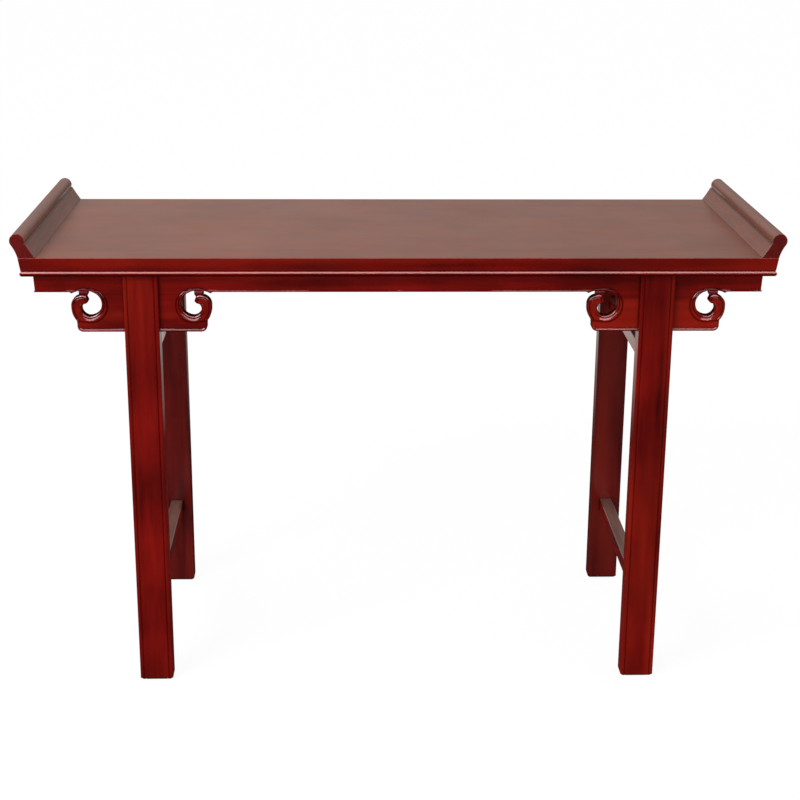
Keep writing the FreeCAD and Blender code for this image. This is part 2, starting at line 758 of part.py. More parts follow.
def apron_corner_splines(label):
    """The four loose splines that lock the apron mitres."""
    body = new_body(label)
    plan = new_sketch(body, label + "_plan", "XY_Plane", UNDERSIDE)
    for side_x in (-1, 1):
        for side_y in (-1, 1):
            draw(plan, spline_plan(side_x, side_y, "0"))
    pad(body, plan, "Size.spline_height", reverse=True)
    return body


def wing_across(share):
    """A place along a spandrel wing, from the middle of its leg."""
    return f"Size.leg_width / 2 + {share} * Size.wing_length"


def wing_up(share):
    """A place up a spandrel wing, from its bottom edge."""
    return f"{SPANDREL_BOTTOM} + {share} * Size.spandrel_height"


def foot_bead_groove():
    """The narrow groove that sets a bead off along a wing's lower edge, pointed at its outer end."""
    low = f"{SPANDREL_BOTTOM} + Size.foot_bead_height"
    high = f"{low} + Size.foot_bead_groove"
    end = "Size.leg_width / 2 + Size.wing_length - Size.foot_bead_end"
    return [
        ("Size.leg_width / 2", low),
        (end, low),
        (f"{end} + Size.foot_bead_groove", high),
        ("Size.leg_width / 2", high),
    ]


def spandrel(label, side, turned):
    """Spandrel board through one leg's fork, with a pierced scroll carved at both ends.

    One half is drawn: the flat board, the beads and the rim that stand proud of its face, and the
    groove over its lower bead. All of it is mirrored about the leg.
    """
    body = new_body(label)
    outline = outline_from_shares(WING_FOOT_SHARES + SCROLL_OUTSIDE_SHARES + POST_SHARES + HOLE_SHARES,
                                  wing_across, wing_up)
    board = new_sketch(body, label + "_board", "XZ_Plane", BOARD_BACK)
    draw(board, [("0", SPANDREL_BOTTOM)] + outline + [("0", APRON_BOTTOM)])
    features = [pad(body, board, "Size.apron_thickness")]

    reliefs = (("hole_bead", HOLE_BEAD_SHARES), ("rim", RIM_SHARES), ("hook_bead", HOOK_BEAD_SHARES))
    for name, shares in reliefs:
        raised = new_sketch(body, f"{label}_{name}", "XZ_Plane", BOARD_FRONT)
        draw(raised, outline_from_shares(shares, wing_across, wing_up))
        features.append(pad(body, raised, "Size.scroll_relief"))

    groove = new_sketch(body, label + "_foot_bead", "XZ_Plane", BOARD_FRONT)
    draw(groove, foot_bead_groove())
    features.append(pocket(body, groove, "Size.foot_bead_groove"))

    mirrored = body.newObject("PartDesign::Mirrored", label + "_other_wing")
    mirrored.Originals = features
    mirrored.MirrorPlane = (board, ["V_Axis"])
    body.Tip = mirrored
    place(body, f"{side} * {LEG_X}", turned=turned)
    return body


def build_top():
    """Frame, panel, battens and flanges."""
    pieces = [
        long_rail("top_front_rail", turned=False),
        long_rail("top_back_rail", turned=True),
        end_rail("top_right_rail", turned=False),
        end_rail("top_left_rail", turned=True),
        panel_board("panel_board_front", -1, ("tongue", "tongue")),
        panel_board("panel_board_middle", 0, ("groove", "groove")),
        panel_board("panel_board_back", 1, ("tongue", "tongue")),
        flange("right_flange", turned=False),
        flange("left_flange", turned=True),
    ]
    for name, share in (("left", -1), ("middle", 0), ("right", 1)):
        pieces.append(batten("batten_" + name, share))
    return pieces


def build_stand():
    """Legs, spandrels, aprons and stretchers."""
    pieces = [
        long_apron("front_apron", turned=False),
        long_apron("back_apron", turned=True),
        end_apron("right_end_apron", turned=False),
        end_apron("left_end_apron", turned=True),
        apron_corner_splines("apron_corner_splines"),
    ]
    for side_name, side in (("left", -1), ("right", 1)):
        for row_name, turned in (("front", False), ("back", True)):
            pieces.append(leg(f"{row_name}_{side_name}_leg", side, turned))
            pieces.append(spandrel(f"{row_name}_{side_name}_spandrel", side, turned))
        for height in ("upper", "lower"):
            foot = f"Size.{height}_stretcher_height"
            thickness = f"Size.{height}_stretcher_thickness"
            pieces.append(stretcher(f"{side_name}_{height}_stretcher", side, foot, thickness))
    return pieces


def check(pieces):
    """Stops if any object failed, or any piece is empty or not valid."""
    for item in document.Objects:
        if {"Invalid", "Error"} & set(item.State):
            raise RuntimeError(f"{item.Name} failed: {item.State}")
    for piece in pieces:
        if piece.Shape.isNull() or not piece.Shape.isValid():
            raise RuntimeError(f"{piece.Label} has no valid shape")


def export(pieces):
    """Writes each piece to its own file."""
    os.makedirs("parts", exist_ok=True)
    for piece in pieces:
        piece.Shape.exportStep(f"parts/{piece.Label}.step")
        print(f"{piece.Label}: {len(piece.Shape.Solids)} solid, {piece.Shape.Volume:.0f} cubic mm")


table = build_top() + build_stand()
document.recompute()
check(table)
export(table)
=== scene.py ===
"""Looks of a red lacquered altar table with everted ends, an add-on that is run as a script.

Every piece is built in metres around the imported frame: +X runs to the right along the top, the
front faces -Y and +Z is up.
"""

import math
from contextlib import contextmanager

import bmesh
import bpy
import numpy as np
from bpy.props import FloatProperty, FloatVectorProperty, PointerProperty
from mathutils import Matrix, Vector
from mathutils.geometry import delaunay_2d_cdt


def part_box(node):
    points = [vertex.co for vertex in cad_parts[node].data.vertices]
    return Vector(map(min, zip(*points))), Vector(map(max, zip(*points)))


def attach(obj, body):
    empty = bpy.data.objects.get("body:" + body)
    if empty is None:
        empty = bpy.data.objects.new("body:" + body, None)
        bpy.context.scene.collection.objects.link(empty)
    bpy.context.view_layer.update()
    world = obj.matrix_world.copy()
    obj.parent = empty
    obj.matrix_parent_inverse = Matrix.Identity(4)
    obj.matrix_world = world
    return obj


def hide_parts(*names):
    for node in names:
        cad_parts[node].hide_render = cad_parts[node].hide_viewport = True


bl_info = {
    "name": "Altar table with everted ends",
    "version": (1, 0, 0),
    "blender": (4, 5, 0),
    "location": "3D View > Sidebar > Altar table",
    "description": "Builds the lacquered pieces of an altar table around its packed frame",
    "category": "Object",
}

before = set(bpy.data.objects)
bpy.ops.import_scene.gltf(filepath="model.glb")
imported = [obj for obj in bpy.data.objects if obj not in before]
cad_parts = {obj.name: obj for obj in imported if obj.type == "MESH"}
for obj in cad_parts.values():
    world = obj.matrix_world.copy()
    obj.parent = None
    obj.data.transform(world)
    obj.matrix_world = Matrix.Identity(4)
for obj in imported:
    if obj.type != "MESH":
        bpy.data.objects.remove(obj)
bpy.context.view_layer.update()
MM = 0.001
# Points closer than this are one
MERGE_DISTANCE = 0.001 * MM

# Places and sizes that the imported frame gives
RAIL_LOW, RAIL_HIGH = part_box("top_front_rail")
END_APRON_LOW, END_APRON_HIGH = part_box("right_end_apron")
LEG_LOW, LEG_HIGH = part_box("front_right_leg")
SPANDREL_LOW, SPANDREL_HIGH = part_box("front_right_spandrel")
FLANGE_LOW, FLANGE_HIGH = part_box("right_flange")
SLAB_TOP = RAIL_HIGH.z
SLAB_BOTTOM = RAIL_LOW.z
HALF_LENGTH = RAIL_HIGH.x
HALF_DEPTH = -RAIL_LOW.y
RAIL_WIDTH = RAIL_HIGH.y - RAIL_LOW.y
LEG_MIDDLE = (LEG_LOW.x + LEG_HIGH.x) / 2
LEG_HALF_WIDTH = (LEG_HIGH.x - LEG_LOW.x) / 2
LEG_FRONT = -LEG_LOW.y
LEG_BACK = -LEG_HIGH.y
APRON_END = END_APRON_HIGH.x
APRON_THICKNESS = END_APRON_HIGH.x - END_APRON_LOW.x
APRON_FRONT = END_APRON_HIGH.y
APRON_BACK = APRON_FRONT - APRON_THICKNESS
APRON_BOTTOM = END_APRON_LOW.z
SPANDREL_BOTTOM = SPANDREL_LOW.z
WING_LENGTH = SPANDREL_HIGH.x - LEG_HIGH.x
WING_HEIGHT = APRON_BOTTOM - SPANDREL_BOTTOM

# Depth, foot and head of the groove for the panel, the last two counted down from the top
PANEL_GROOVE_DEPTH = 9.0 * MM
PANEL_GROOVE_LOW = 9.2 * MM
PANEL_GROOVE_HIGH = 3.8 * MM
# Width of a flange's section from its inner foot to its outermost point
FLANGE_WIDTH = FLANGE_HIGH.x - FLANGE_LOW.x

# Outline of a spandrel wing in shares of its length and height. Along the wing a share counts from
# the leg's side and upward from the wing's bottom. A third entry is a point on the way to the next
# corner, which makes that stretch an arc.
WING_SHARES = [
    (0.804, 0.000, (0.880, 0.055)),
    (0.903, 0.170),
    (0.908, 0.278, (0.983, 0.455)),
    (1.000, 0.640, (0.962, 0.818)),
    (0.848, 0.912),
    (0.848, 1.031),
    (0.672, 1.031),
    (0.672, 0.945),
    (0.705, 0.880),
    (0.672, 0.783, (0.707, 0.725)),
    (0.760, 0.702, (0.797, 0.640)),
    (0.803, 0.560, (0.752, 0.448)),
    (0.660, 0.395, (0.424, 0.700)),
    (0.590, 1.000),
]
# Section of a flange in shares of its width and rise, from the inner foot outward
FLANGE_SHARES = [
    (0.000, 0.000),
    (0.709, 0.000, (0.820, 0.310)),
    (0.968, 0.560, (0.700, 1.000)),
    (0.414, 0.583),
    (0.362, 0.571, (0.208, 0.310)),
]
# Share of a flange's rise at which its roll leaves the inner face in a crease
CREASE_SHARE = 0.577
# Underside of the apron's arch over a scroll, in millimetres along and up the wing
ARCH_LINE = [(53.6, 70.6), (56.5, 71.9), (61.0, 72.8), (70.0, 73.1), (78.0, 72.5), (84.0, 70.8),
             (88.0, 69.0), (89.9, 68.3), (91.6, 69.6), (94.0, 70.4), (97.0, 70.6)]

# Output type (triangles inside the outline) and tolerance of the triangulation
FILL_INSIDE = (1, 1e-9)

# All of these are in millimetres, and places are along and up a wing
# Distance between the points of a drawn line
LINE_STEP = 0.6
# Radius of the free edges of the carved boards
EDGE_ROUND = 0.8
# The ring's outer rim is an arc round this centre
RIM_CENTRE = (58.8, 46.6)
RIM_RADIUS = 30.0
# Middle of the hook, the reach of its own carving and the distance over which the ring's begins
HOOK_MIDDLE = (74.0, 41.0)
HOOK_REACH = 4.0
RING_BLEND = 8.0
# Width of the rounding along the rim, of the bead along the hole and of the brow along the hook,
# and the places of the grooves behind bead and brow
RIM_ROUND = 2.2
BEAD_WIDTH = 4.2
BROW_WIDTH = 4.0
BEAD_GROOVE = 4.5
BROW_GROOVE = 4.3
# Height that the carving along a wing's foot reaches, and the height over which it fades, the
# crest of its bead and the groove above it
FOOT_TOP = 9.0
FOOT_FADE = 4.0
FOOT_BEAD = 2.6
FOOT_GROOVE = 5.2
# The small post between hook and arch: where it starts and ends, its middle and half its size
POST_FROM = 61.4
POST_TO = 76.6
POST_MIDDLE = (69.0, 69.6)
POST_HALF = (8.0, 3.1)
# Height of the carving that its lines were drawn for
DRAWN_RELIEF = 1.5
# Where an apron's face comes free of the spandrel, and over what distance
FREE_FROM = 52.0
FREE_OVER = 36.0
# Distance along a wing past which an apron's face is plain
CARVED_REACH = 100.0
# Rows of points over the foot of a spandrel and over the lower edge of an apron, which are close
# together where the bead bends
FOOT_ROWS = (0.2, 0.45, 0.8, 1.1, 1.5, 2.0, 2.7, 3.4, 3.9, 4.3, 4.8, 5.2, 5.7, 6.4)
APRON_ROWS = (0.15, 0.35, 0.6, 0.9, 1.2, 1.5, 1.8, 2.1, 2.4, 2.7, 2.9, 3.05, 3.2, 3.5, 4.2, 12.0,
              24.0)

# Turns in degrees about the middle of the table that bring a piece made at the front to its place
LONG_SIDES = (("front", 0), ("back", 180))
ENDS = (("right", 90), ("left", 270))
HANDS = (("left", -1), ("right", 1))
# How much finer the grain's pattern is along each axis, for wood that runs along x, y or z
GRAIN_STRETCH = {"x": (1.3, 16.0, 16.0), "y": (16.0, 1.3, 16.0), "z": (16.0, 16.0, 1.3)}


def length_property(name, description, default, least=0.0):
    """A length that the panel shows, given in millimetres."""
    return FloatProperty(name=name, description=description, default=default * MM,
                         min=least * MM, unit="LENGTH")


def colour_property(name, description, default):
    """A colour that the panel shows."""
    return FloatVectorProperty(name=name, description=description, default=default,
                               min=0.0, max=1.0, size=3, subtype="COLOR")


def share_property(name, description, default):
    """A share from 0 to 1 that the panel shows."""
    return FloatProperty(name=name, description=description, default=default,
                         min=0.0, max=1.0, subtype="FACTOR")


def angle_property(name, description, degrees):
    """An angle that the panel shows."""
    return FloatProperty(name=name, description=description, default=math.radians(degrees),
                         subtype="ANGLE")


class TableSizes(bpy.types.PropertyGroup):
    """Sizes of the mouldings and edges that the eye sees."""

    edge: length_property("Eased edge", "Radius on the outer edges of the top", 0.8)
    band_height: length_property("Band height", "Height of the flat band round the top", 23.0)
    band_lean: length_property("Band lean", "How far the band's foot lies behind its top edge", 3.0)
    quirk_height: length_property(
        "Quirk height", "Height of the groove between the band and the bead", 1.5)
    quirk_depth: length_property(
        "Quirk depth", "Depth of the groove between the band and the bead", 3.8)
    bead_inset: length_property(
        "Bead inset", "How far the edge bead lies behind the band's top edge", 1.0)
    leg_bead: length_property("Leg bead", "Width of the bead along each front edge of a leg", 7.0)
    leg_groove: length_property("Leg groove", "Depth of the groove beside a leg's bead", 1.5)
    foot_chamfer: length_property("Foot chamfer", "Chamfer round the foot of a leg", 4.0)
    apron_lean: length_property("Apron lean", "How far an apron's face lies behind its bead", 1.4)
    apron_bead: length_property("Apron bead", "Height of the bead along an apron's lower edge", 3.0)
    relief: length_property(
        "Scroll relief", "How far the carved scroll stands proud of its board", 1.5)
    carving_step: length_property(
        "Carving step", "Distance between the points of the carved surface", 0.45, 0.2)


class TableFinish(bpy.types.PropertyGroup):
    """Colours and gloss of the three finishes."""

    lacquer: colour_property(
        "Red lacquer", "Colour of the lacquered frame and legs", (0.250, 0.0050, 0.0028))
    lacquer_dark: colour_property(
        "Dark streak", "Colour where the lacquer lies thick or the grain is dark",
        (0.050, 0.0018, 0.0014))
    # The top's and the flanges' colours are partly their own tone and partly painted reflection
    top: colour_property(
        "Top lacquer", "Colour of the upper face of the top", (0.315, 0.060, 0.014))
    top_dark: colour_property(
        "Top streak", "Colour of the dark streaks of the upper face", (0.140, 0.023, 0.006))
    end_top: colour_property(
        "Flange lacquer", "Colour of the flanges' inner faces", (0.255, 0.064, 0.033))
    # A paler colour on the stretchers' upper faces, a painted reflection of the pale room
    stretcher_sheen: colour_property(
        "Painted sheen", "Colour of the dull upper faces of the stretchers", (0.230, 0.110, 0.080))
    stretcher_sheen_streak: colour_property(
        "Painted sheen streak", "Colour of the streaks on the stretchers' upper faces",
        (0.110, 0.042, 0.030))
    inner: colour_property(
        "Inner wood", "Colour of the stained wood under the top", (0.160, 0.040, 0.022))
    inner_dark: colour_property(
        "Inner wood grain", "Colour of the grain of the wood under the top", (0.070, 0.016, 0.010))
    gloss: share_property("Lacquer roughness", "Roughness of the lacquered frame and legs", 0.12)
    top_gloss: share_property("Top roughness", "Roughness of the upper face of the top", 0.30)


class StudioSetup(bpy.types.PropertyGroup):
    """Lens, place and direction of the camera."""

    lens: FloatProperty(
        name="Lens", description="Focal length of the camera in millimetres",
        default=74.89, min=10.0)
    camera_place: FloatVectorProperty(
        name="Camera place", description="Where the camera stands",
        default=(-0.0889, -3.0252, 1.4606), size=3, subtype="TRANSLATION")
    camera_pitch: angle_property("Camera pitch", "How far the camera looks down", 18.18)
    camera_yaw: angle_property("Camera yaw", "How far the camera looks to the right", 1.84)
    camera_roll: angle_property("Camera roll", "How far the camera is tilted to the side", 0.41)


def sizes():
    """The sizes that the panel holds."""
    return bpy.context.scene.altar_table_sizes


def finish():
    """The colours that the panel holds."""
    return bpy.context.scene.altar_table_finish


# Outlines

def arc_points(start, way, end, step):
    """Points from start towards end on the arc through way, without the end itself."""
    (ax, ay), (bx, by), (cx, cy) = start, way, end
    twice = 2 * (ax * (by - cy) + bx * (cy - ay) + cx * (ay - by))
    a2 = ax * ax + ay * ay
    b2 = bx * bx + by * by
    c2 = cx * cx + cy * cy
    mx = (a2 * (by - cy) + b2 * (cy - ay) + c2 * (ay - by)) / twice
    my = (a2 * (cx - bx) + b2 * (ax - cx) + c2 * (bx - ax)) / twice
    radius = math.hypot(ax - mx, ay - my)
    first = math.atan2(ay - my, ax - mx)
    last = math.atan2(cy - my, cx - mx)
    if (bx - ax) * (cy - ay) - (by - ay) * (cx - ax) > 0:
        turn = (last - first) % math.tau
    else:
        turn = -((first - last) % math.tau)
    count = max(2, math.ceil(abs(turn) * radius / step))
    points = []
    for index in range(count):
        angle = first + turn * index / count
        points.append((mx + radius * math.cos(angle), my + radius * math.sin(angle)))
    return points


def straight_points(start, end, step):
    """Points from start towards end on a straight line, without the end itself."""
    length = math.dist(start, end)
    count = max(1, math.ceil(length / step))
    return [(start[0] + (end[0] - start[0]) * index / count,
             start[1] + (end[1] - start[1]) * index / count) for index in range(count)]


def traced(corners, step, closed=True):
    """Follows corners, of which some carry a point on the way that makes the stretch an arc."""
    points = []
    count = len(corners)
    for index in range(count if closed else count - 1):
        start = corners[index][:2]
        end = corners[(index + 1) % count][:2]
        if len(corners[index]) == 3:
            points += arc_points(start, corners[index][2], end, step)
        else:
            points += straight_points(start, end, step)
    if not closed:
        points.append(corners[-1][:2])
    return points


def scaled(shares, width, height):
    """A table of shares turned into lengths."""
    out = []
    for corner in shares:
        ends = (corner[0] * width, corner[1] * height)
        if len(corner) == 3:
            ends += ((corner[2][0] * width, corner[2][1] * height),)
        out.append(ends)
    return out


def smooth_line(points, step):
    """A smooth curve through the points, with a point at about every step."""
    line = []
    count = len(points)
    for index in range(count - 1):
        before = points[max(index - 1, 0)]
        start = points[index]
        end = points[index + 1]
        after = points[min(index + 2, count - 1)]
        parts = max(1, math.ceil(math.dist(start, end) / step))
        for part in range(parts):
            t = part / parts
            place = []
            for axis in (0, 1):
                b, s, e, a = before[axis], start[axis], end[axis], after[axis]
                place.append(0.5 * (2 * s + (e - b) * t + (2 * b - 5 * s + 4 * e - a) * t ** 2
                                    + (3 * s - b - 3 * e + a) * t ** 3))
            line.append(tuple(place))
    line.append(points[-1])
    return line


def rounded(corners, parts=5):
    """A closed outline whose corners (x, y, radius) are rounded."""
    points = []
    count = len(corners)
    for index, (x, y, radius) in enumerate(corners):
        here = Vector((x, y))
        if radius <= 0:
            points.append((x, y))
            continue
        before = (Vector(corners[index - 1][:2]) - here).normalized()
        after = (Vector(corners[(index + 1) % count][:2]) - here).normalized()
        half = before.angle(after) / 2
        reach = radius / math.tan(half)
        centre = here + (before + after).normalized() * radius / math.sin(half)
        first = here + before * reach - centre
        last = here + after * reach - centre
        sweep = first.angle_signed(last)
        for part in range(parts + 1):
            angle = -sweep * part / parts
            turned = Matrix.Rotation(angle, 2) @ first
            points.append(tuple(centre + turned))
    return points


# Meshes

def plain_mesh(source):
    """The evaluated mesh of an object, which is then removed."""
    bpy.context.view_layer.update()
    graph = bpy.context.evaluated_depsgraph_get()
    mesh = bpy.data.meshes.new_from_object(source.evaluated_get(graph))
    bpy.data.objects.remove(source)
    return mesh


def linked(name, data):
    """An object of the scene with this mesh or curve."""
    made = bpy.data.objects.new(name, data)
    bpy.context.scene.collection.objects.link(made)
    return made


@contextmanager
def reworked(mesh):
    """A bmesh of a mesh, written back to it at the end."""
    work = bmesh.new()
    work.from_mesh(mesh)
    yield work
    work.to_mesh(mesh)
    work.free()


def modified(mesh, kind, **settings):
    """What a modifier with these settings makes of a mesh."""
    holder = linked("worked", mesh)
    modifier = holder.modifiers.new("Work", kind)
    for name, value in settings.items():
        setattr(modifier, name, value)
    return plain_mesh(holder)


def tidied(mesh, sharp_angle=35.0):
    """Merges doubles, turns faces outward and shades all but the sharp edges smooth."""
    with reworked(mesh) as work:
        bmesh.ops.remove_doubles(work, verts=work.verts, dist=MERGE_DISTANCE)
        bmesh.ops.recalc_face_normals(work, faces=work.faces)
    mesh.shade_smooth()
    mesh.set_sharp_from_angle(angle=math.radians(sharp_angle))
    return mesh


def eased(mesh, width, parts=2, angle=50.0):
    """Rounds the sharp edges of a mesh with a bevel."""
    return modified(mesh, "BEVEL", width=width, segments=parts, limit_method="ANGLE",
                    angle_limit=math.radians(angle), use_clamp_overlap=False,
                    harden_normals=False)


def flat_shaded_weights(mesh):
    """Keeps wide faces looking flat beside their rounded edges."""
    return modified(mesh, "WEIGHTED_NORMAL", mode="FACE_AREA", weight=100, keep_sharp=True)


def piece(name, mesh, material, slot, *nodes):
    """Puts a finished mesh in the scene in place of its CAD nodes."""
    mesh.name = name
    mesh.materials.clear()
    mesh.materials.append(material)
    made = linked(name, mesh)
    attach(made, "root")
    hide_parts(*nodes)
    return made


def turned_copy(mesh, degrees):
    """A copy of a mesh turned about the vertical axis through the middle of the table."""
    copy = mesh.copy()
    copy.transform(Matrix.Rotation(math.radians(degrees), 4, "Z"))
    return copy


# Nodes

def set_inputs(node, inputs):
    """Gives inputs of a node, by name or number, a link or a value."""
    for name, value in inputs.items():
        if isinstance(value, bpy.types.NodeSocket):
            node.id_data.links.new(value, node.inputs[name])
        else:
            node.inputs[name].default_value = value


def made_node(nodes, kind, inputs=None, **settings):
    """A node with these settings. Its inputs, by name or number, get a link or a value."""
    node = nodes.new(kind)
    for name, value in settings.items():
        setattr(node, name, value)
    set_inputs(node, inputs or {})
    return node


def math_node(nodes, operation, first, second=None, clamp=False):
    """The result of a math node whose inputs are sockets or numbers."""
    inputs = {0: first} if second is None else {0: first, 1: second}
    return made_node(nodes, "ShaderNodeMath", inputs, operation=operation,
                     use_clamp=clamp).outputs[0]


def product(nodes, first, second, clamp=False):
    """One value times another."""
    return math_node(nodes, "MULTIPLY", first, second, clamp)


def total(nodes, first, second, clamp=False):
    """One value plus another."""
    return math_node(nodes, "ADD", first, second, clamp)


def rest(nodes, value, clamp=False):
    """What a value leaves of 1."""
    return math_node(nodes, "SUBTRACT", 1.0, value, clamp)


def weighted_sum(nodes, *terms):
    """The sum of values, each with its weight, kept between 0 and 1."""
    result = None
    for value, weight in terms:
        part = product(nodes, value, weight)
        result = part if result is None else total(nodes, result, part)
    return total(nodes, result, 0.0, clamp=True)


def spread(nodes, value, low, high):
    """A value stretched so that low becomes 0 and high becomes 1."""
    return made_node(nodes, "ShaderNodeMapRange",
                     {"Value": value, "From Min": low, "From Max": high}).outputs["Result"]


def split(nodes, vector):
    """The X, Y and Z of a vector."""
    return made_node(nodes, "ShaderNodeSeparateXYZ", {0: vector}).outputs


def surface(nodes, what):
    """What the Geometry node says about a point of the surface."""
    return nodes.new("ShaderNodeNewGeometry").outputs[what]


# A moulding: one section run along a straight line, with square or mitred ends

def moulding_tree():
    """The node tree that runs a section along a line and cuts its ends square or as mitres."""
    tree = bpy.data.node_groups.get("moulding_run")
    if tree:
        return tree
    tree = bpy.data.node_groups.new("moulding_run", "GeometryNodeTree")
    tree.is_modifier = True
    for name, kind in (("Section", "Object"), ("Length", "Float"), ("Outer face", "Float"),
                       ("Mitre", "Float"), ("Finish", "Material")):
        tree.interface.new_socket(name, in_out="INPUT", socket_type="NodeSocket" + kind)
    tree.interface.new_socket("Moulding", in_out="OUTPUT", socket_type="NodeSocketGeometry")
    nodes = tree.nodes
    given = nodes.new("NodeGroupInput").outputs

    half = product(nodes, given["Length"], 0.5)
    start = made_node(nodes, "ShaderNodeCombineXYZ", {"X": product(nodes, half, -1.0)})
    end = made_node(nodes, "ShaderNodeCombineXYZ", {"X": half})
    line = made_node(nodes, "GeometryNodeCurvePrimitiveLine",
                     {"Start": start.outputs[0], "End": end.outputs[0]})
    section = made_node(nodes, "GeometryNodeObjectInfo", {"Object": given["Section"]})
    run = made_node(nodes, "GeometryNodeCurveToMesh",
                    {"Curve": line.outputs[0], "Profile Curve": section.outputs["Geometry"],
                     "Fill Caps": True})

    place = split(nodes, nodes.new("GeometryNodeInputPosition").outputs[0])
    inset = total(nodes, given["Outer face"], place["Y"])
    cut = product(nodes, inset, math_node(nodes, "SIGN", place["X"]))
    back = product(nodes, product(nodes, cut, given["Mitre"]), -1.0)
    offset = made_node(nodes, "ShaderNodeCombineXYZ", {"X": back})
    mitred = made_node(nodes, "GeometryNodeSetPosition",
                       {"Geometry": run.outputs[0], "Offset": offset.outputs[0]})
    real = made_node(nodes, "GeometryNodeRealizeInstances", {0: mitred.outputs[0]})
    finished = made_node(nodes, "GeometryNodeSetMaterial",
                         {"Geometry": real.outputs[0], "Material": given["Finish"]})
    made_node(nodes, "NodeGroupOutput", {0: finished.outputs[0]})
    return tree


def moulding(outline, length, outer_face, mitred, material):
    """Runs an outline of points (distance from the middle, height) along the front of the table.

    The distance counts from the middle of the table towards the front.
    """
    curve = bpy.data.curves.new("section", "CURVE")
    curve.dimensions = "2D"
    spline = curve.splines.new("POLY")
    spline.points.add(len(outline) - 1)
    for point, (across, up) in zip(spline.points, outline):
        point.co = (across, -up, 0.0, 1.0)
    spline.use_cyclic_u = True
    section = linked("section", curve)
    holder = linked("moulding", bpy.data.meshes.new("moulding"))
    run = holder.modifiers.new("Run", "NODES")
    run.node_group = moulding_tree()
    values = {"Section": section, "Length": length, "Outer face": outer_face,
              "Mitre": 1.0 if mitred else 0.0, "Finish": material}
    for item in run.node_group.interface.items_tree:
        if item.in_out == "INPUT":
            run[item.identifier] = values[item.name]
    mesh = plain_mesh(holder)
    bpy.data.objects.remove(section)
    return mesh


# Carved boards: an outline filled with points whose face follows a height

def distances(points, line):
    """Shortest distance from each point to a line of points."""
    best = np.full(len(points), np.inf)
    for start, end in zip(line[:-1], line[1:]):
        along = end - start
        span = float(along @ along)
        if span == 0:
            continue
        share = np.clip(((points - start) @ along) / span, 0, 1)
        gap = points - (start + share[:, None] * along)
        best = np.minimum(best, np.einsum("ij,ij->i", gap, gap))
    return np.sqrt(best)


def inside(points, outline):
    """Which points lie inside a closed outline."""
    hit = np.zeros(len(points), bool)
    x, y = points[:, 0], points[:, 1]
    for (ax, ay), (bx, by) in zip(outline, np.roll(outline, -1, axis=0)):
        crosses = (ay > y) != (by > y)
        with np.errstate(divide="ignore", invalid="ignore"):
            at = (bx - ax) * (y - ay) / (by - ay) + ax
        hit ^= crosses & (x < at)
    return hit


def dome(share):
    """A quarter round that rises from 0 to 1 as the share does."""
    return np.sqrt(1 - (1 - np.clip(share, 0, 1)) ** 2)


def slope(share, soft=0.25):
    """A straight slope with soft ends that rises from 0 to 1 as the share does."""
    share = np.clip(share, 0, 1)
    bend = 2 * soft * (1 - soft)
    middle = (share - soft / 2) / (1 - soft)
    return np.where(share < soft, share ** 2 / bend,
                    np.where(share > 1 - soft, 1 - (1 - share) ** 2 / bend, middle))


def ridge(distance, centre, half_width):
    """A half round ridge of height 1 along a line at that distance."""
    return np.sqrt(np.clip(1 - ((distance - centre) / half_width) ** 2, 0, 1))


def soft_ridge(distance, centre, half_width):
    """A ridge of height 1 with sloping sides along a line at that distance."""
    return slope(1 - np.abs(distance - centre) / half_width)


def line_mask(distance, half_width):
    """A mask that is 1 on a line and fades beside it."""
    return np.exp(-(distance / half_width) ** 2)


def carved_board(outline, points, front, back, height, thick):
    """A closed board whose front stands at front plus height(points), and whose back is flat.

    The outline and the points are (x, z) in metres, counterclockwise as seen from the front.
    thick(points) is the share of painted shade there. It is 1 on the sawn edges.
    """
    edge = np.array(outline)
    count = len(edge)
    near = distances(points, np.vstack([edge, edge[:1]]))
    too_near = 0.12 * MM
    points = points[inside(points, edge) & (near > too_near)]
    flat = [Vector(p) for p in edge] + [Vector(p) for p in points]
    loop = [list(range(count))]
    places, _, faces, *_ = delaunay_2d_cdt(flat, [], loop, *FILL_INSIDE)
    places = np.array([tuple(p) for p in places])
    rise = height(places)
    vertices = [(x, -(front + h), z) for (x, z), h in zip(places, rise)]
    base = len(vertices)
    vertices += [(x, -back, z) for x, z in edge]
    solid = [list(face) for face in faces]
    _, _, rear, *_ = delaunay_2d_cdt([Vector(p) for p in edge], [], loop, *FILL_INSIDE)
    solid += [[base + corner for corner in reversed(face)] for face in rear]
    for index in range(count):
        after = (index + 1) % count
        solid.append([index, base + index, base + after, after])
    mesh = bpy.data.meshes.new("carved")
    mesh.from_pydata(vertices, [], solid)
    # Painted shade along the grooves, rims and sawn edges, for the materials to darken by
    layer = mesh.attributes.new("painted_shade_lines", "FLOAT", "POINT")
    painted_shade_share = np.concatenate([thick(places), np.ones(count)])
    layer.data.foreach_set("value", painted_shade_share.astype(np.float32))
    return mesh


def grid_points(low_x, high_x, low_z, high_z, step):
    """Points in a staggered grid of nearly regular triangles."""
    rise = 0.866
    rows = np.arange(low_z, high_z, step * rise)
    out = []
    for index, z in enumerate(rows):
        shift = step / 2 if index % 2 else 0.0
        xs = np.arange(low_x + shift, high_x, step)
        out.append(np.stack([xs, np.full(len(xs), z)], 1))
    return np.vstack(out)


# The scroll of a spandrel wing, in millimetres along and up the wing

def line_through(points):
    """A smooth drawn line through the points."""
    return smooth_line(points, LINE_STEP)


def edge_along(corners):
    """The drawn line that follows corners of the wing's outline."""
    return traced(corners, LINE_STEP, closed=False)


